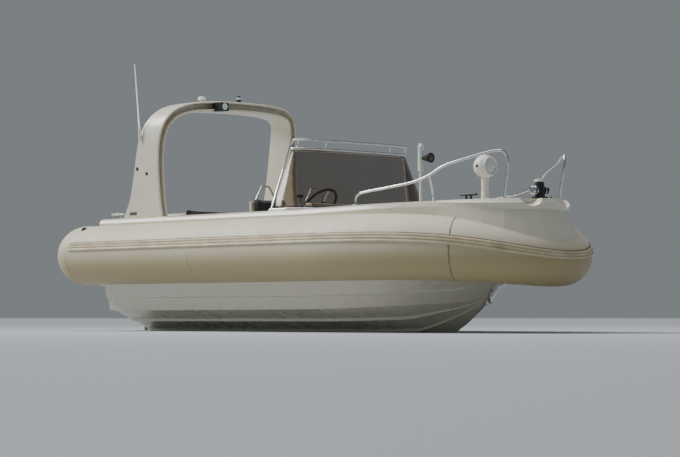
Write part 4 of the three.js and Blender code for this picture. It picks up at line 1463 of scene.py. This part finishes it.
@dataclass
class Helm:
    """The steering wheel and the dashboard's instruments.

    The dashboard's sloping face is described from its middle: up along it, across the boat and out from it.
    """

    middle: Vector = field(default_factory=lambda: Vector((0.030, 0.0, above_keel(1.2675))))
    slope: Vector = field(default_factory=lambda: Vector((0.140, 0.0, 0.155)).normalized())
    wheel_centre: Place = (-0.035, -0.330, above_keel(1.350))
    wheel_radius: float = 0.170
    rim_radius: float = 0.0135
    gauges: Spots = ((0.052, -0.50), (0.052, -0.16), (-0.045, -0.53), (-0.045, -0.13))  # up and across
    display_y: float = 0.07
    switches_y: float = 0.32
    control_y: float = -0.595

    @property
    def outward(self) -> Vector:
        """The direction out of the face, towards the helm."""
        return Vector((-self.slope.z, 0.0, self.slope.x))

    def on_face(self, up: float, across: float, out: float = 0.0) -> Vector:
        """Returns the point that lies so far up the face, across the boat and out from it."""
        return self.middle + self.slope * up + Vector((0, across, 0)) + self.outward * out

    def _plate(self, up: float, across: float, size: Place, rounding: float) -> bmesh.types.BMesh:
        """Makes a rounded plate that stands on the face, sunk in it by 2 mm.

        Args:
            up: its middle's place up the face.
            across: its middle's place across the boat.
            size: its sizes up, across and out.
            rounding: its edges' rounding.

        Returns:
            The plate.
        """
        axes = Matrix((self.slope, Vector((0, 1, 0)), self.outward)).transposed().to_4x4()
        middle = self.on_face(up, across, size[2] / 2 - 0.002)
        return rounded_block(size, Matrix.Translation(middle) @ axes, rounding)

    def build(self) -> None:
        """Makes the wheel, the instruments, the engine control and the grab handle."""
        self._wheel()
        self._gauges()
        self._panels()
        self._control()
        path = [(0.47, 0.0), (0.47, 0.04), (0.485, 0.05), (0.585, 0.05), (0.60, 0.04), (0.60, 0.0)]
        grab = bar([self.on_face(-0.02, across, out) for across, out in path], 0.010)
        piece(grab, "dash_grab_handle", "boat", PolishedStainless(), sharp=50)

    def _gauges(self) -> None:
        """Makes the round gauges: a bright rim and a crowned glass each."""
        seats = [self.on_face(up, across, -0.001) for up, across in self.gauges]
        rims = [disc(seat, self.outward, 0.040, 0.010) for seat in seats]
        piece(joined(rims), "gauge_rims", "boat", PolishedStainless())
        dials = [self.on_face(up, across, 0.0085) for up, across in self.gauges]
        glasses = [disc(dial, self.outward, 0.034, 0.002, 0.002) for dial in dials]
        piece(joined(glasses), "gauge_glasses", "boat", HatchAcrylic())

    def _panels(self) -> None:
        """Makes the chart display and the switch panel with its rockers."""
        display, switches = self.display_y, self.switches_y
        case = self._plate(0.0, display, (0.155, 0.235, 0.022), 0.008)
        piece(case, "chart_display", "boat", BlackAbs())
        glass = self._plate(0.004, display, (0.118, 0.195, 0.026), 0.002)
        piece(glass, "chart_display_screen", "boat", HatchAcrylic())
        panel = self._plate(0.0, switches, (0.110, 0.180, 0.010), 0.004)
        piece(panel, "switch_panel", "boat", BlackAbs())
        rockers = [
            self._plate(up, switches + across, (0.030, 0.016, 0.020), 0.003)
            for up in (-0.026, 0.026) for across in (-0.06, -0.02, 0.02, 0.06)
        ]
        piece(joined(rockers), "rocker_switches", "boat", WhiteAsa())

    def _control(self) -> None:
        """Makes the engine control: a box, a lever and its grip."""
        box = self._plate(-0.01, self.control_y, (0.120, 0.060, 0.040), 0.012)
        foot = self.on_face(-0.01, self.control_y, 0.035)
        top = foot + Vector((-0.03, 0, 0.125))
        lever = bar([foot, foot + (top - foot) * 0.5, top], 0.007)
        grip = rounded_block((0.030, 0.075, 0.030), Matrix.Translation(top), 0.012)
        piece(joined((box, grip)), "engine_control", "boat", BlackAbs())
        piece(lever, "control_lever", "boat", PolishedStainless(), sharp=50)

    def _wheel(self) -> None:
        """Makes the wheel: a padded rim, three flat spokes and the hub on its shaft."""
        at = frame_at(Vector(self.wheel_centre), self.outward)
        angles = [math.tau * k / 14 for k in range(15)]
        thick = self.rim_radius
        section = [(self.wheel_radius + thick * math.cos(a), thick * math.sin(a)) for a in angles]
        profile = [
            (0.0, -0.103), (0.027, -0.103), (0.027, -0.050), (0.036, -0.044), (0.038, -0.014),
            (0.030, -0.006), (0.0, -0.004),
        ]
        rim, hub = turned(section, at, 56), turned(profile, at)
        piece(joined((rim, hub)), "helm_wheel", "wheel", BlackVinyl(), ("steering_wheel",), sharp=50)
        turns = [Matrix.Rotation(math.radians(degrees), 4, "Z") for degrees in (90, 210, 330)]
        spokes = [self._spoke(at @ turn) for turn in turns]
        soften(piece(joined(spokes), "wheel_spokes", "wheel", PolishedStainless(), sharp=40), 0.001)

    @staticmethod
    def _spoke(at: Matrix) -> bmesh.types.BMesh:
        """Makes a flat spoke that rises from the hub to the rim along local X."""
        rings = []
        # Distance along the spoke, height and half width
        for along, height, width in (
            (0.030, -0.018, 0.022), (0.085, -0.012, 0.014), (0.130, -0.006, 0.012), (0.162, 0.0, 0.015),
        ):
            corners = ((-1, -0.003), (1, -0.003), (1, 0.003), (-1, 0.003))
            rings.append([at @ Vector((along, side * width, height + lift)) for side, lift in corners])
        return loft(rings)


# The stern drive


@dataclass
class Drive:
    """The stern drive."""

    propeller_x: float = -3.215
    shaft_height: float = above_keel(-0.160)
    shield_x: float = -2.800

    def build(self) -> None:
        """Makes the drive's castings, cylinders and propeller."""
        casting, steel = PaintedCasting(), PolishedStainless()
        dressed("transom_shield", "transom_casting", "boat", casting, 0.008, segments=3)
        dressed("gimbal_ring", "gimbal_casting", "gimbal", casting, 0.004)
        dressed("drive_leg", "leg_casting", "drive", casting, 0.006)
        for side in SIDES:
            dressed(f"trim_barrel_{side}", f"trim_cylinder_{side}", "trim_barrels", casting, 0.001, sharp=50)
            dressed(f"trim_rod_{side}", f"trim_piston_{side}", "trim_rods", steel, sharp=50)
        self._propeller()
        self._fittings()

    def _propeller(self) -> None:
        """Makes the propeller: a hub with a flared end and three twisted blades."""
        low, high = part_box("propeller")
        shaft = Matrix.Translation((0, 0, self.shaft_height)) @ Matrix.Rotation(math.pi / 2, 4, "Y")
        profile = [
            (0.0, low.x + 0.001), (0.020, low.x + 0.001), (0.027, low.x + 0.004), (0.030, low.x + 0.03),
            (0.041, high.x - 0.002), (0.0, high.x - 0.001),
        ]
        hub = turned(profile, shaft, 36)
        blades = [self._blade(degrees) for degrees in (0, 120, 240)]
        whole = joined([hub, *blades])
        made = piece(whole, "propeller_casting", "propeller_body", GroundSteel(), ("propeller",), sharp=45)
        soften(made, 0.0008)

    def _blade(self, degrees: float) -> bmesh.types.BMesh:
        """Makes one blade, whose pitch falls and whose chord swells and closes towards the tip."""
        # Shares of the half chord and of the half thickness, round the section
        section = ((-1, 0), (-0.5, 0.9), (0, 1.0), (0.6, 0.7), (1, 0), (0.6, -0.7), (0, -1.0), (-0.5, -0.9))
        rings = []
        # Distance from the shaft, chord, pitch in degrees and thickness
        for reach, chord, pitch, thick in (
            (0.028, 0.040, 52, 0.010), (0.060, 0.066, 44, 0.008), (0.095, 0.080, 36, 0.006),
            (0.125, 0.074, 31, 0.005), (0.145, 0.054, 28, 0.004), (0.155, 0.026, 27, 0.003),
            (0.158, 0.008, 27, 0.002),
        ):
            turn = math.radians(pitch)
            along = Vector((math.sin(turn), math.cos(turn), 0)) * (chord / 2)
            across = Vector((math.cos(turn), -math.sin(turn), 0)) * (thick / 2)
            middle = Vector((0, 0.012 * math.sin(reach * 20), reach))
            rings.append([middle + along * c + across * t for c, t in section])
        form = loft(rings)
        centre = Vector((self.propeller_x, 0, self.shaft_height))
        form.transform(Matrix.Translation(centre) @ Matrix.Rotation(math.radians(degrees), 4, "X"))
        return form

    def _fittings(self) -> None:
        """Makes the shield's six hexagon bolts and the leg's anode."""
        heights = [above_keel(height) for height in (0.215, 0.360, 0.505)]
        places = [Vector((self.shield_x, side * 0.130, z)) for side in SIDES.values() for z in heights]
        bolts = [disc(place, AFT, 0.012, 0.007, 0.001, 6) for place in places]
        piece(joined(bolts), "shield_bolts", "boat", PolishedStainless(), sharp=30)
        middle = Matrix.Translation((-3.060, 0, above_keel(0.003)))
        anode = rounded_block((0.090, 0.050, 0.012), middle, 0.004)
        piece(anode, "drive_anode", "drive", GroundSteel())


def main() -> None:
    """Builds the boat's sub-assemblies in order."""
    logging.basicConfig(level=logging.INFO, format="%(name)s: %(message)s")
    Studio().build()
    for assembly in (Collar(), Mouldings(), Screen(), Arch(), DeckGear(), Helm(), Drive(), Seating()):
        assembly.build()


if __name__ == "__main__":
    main()
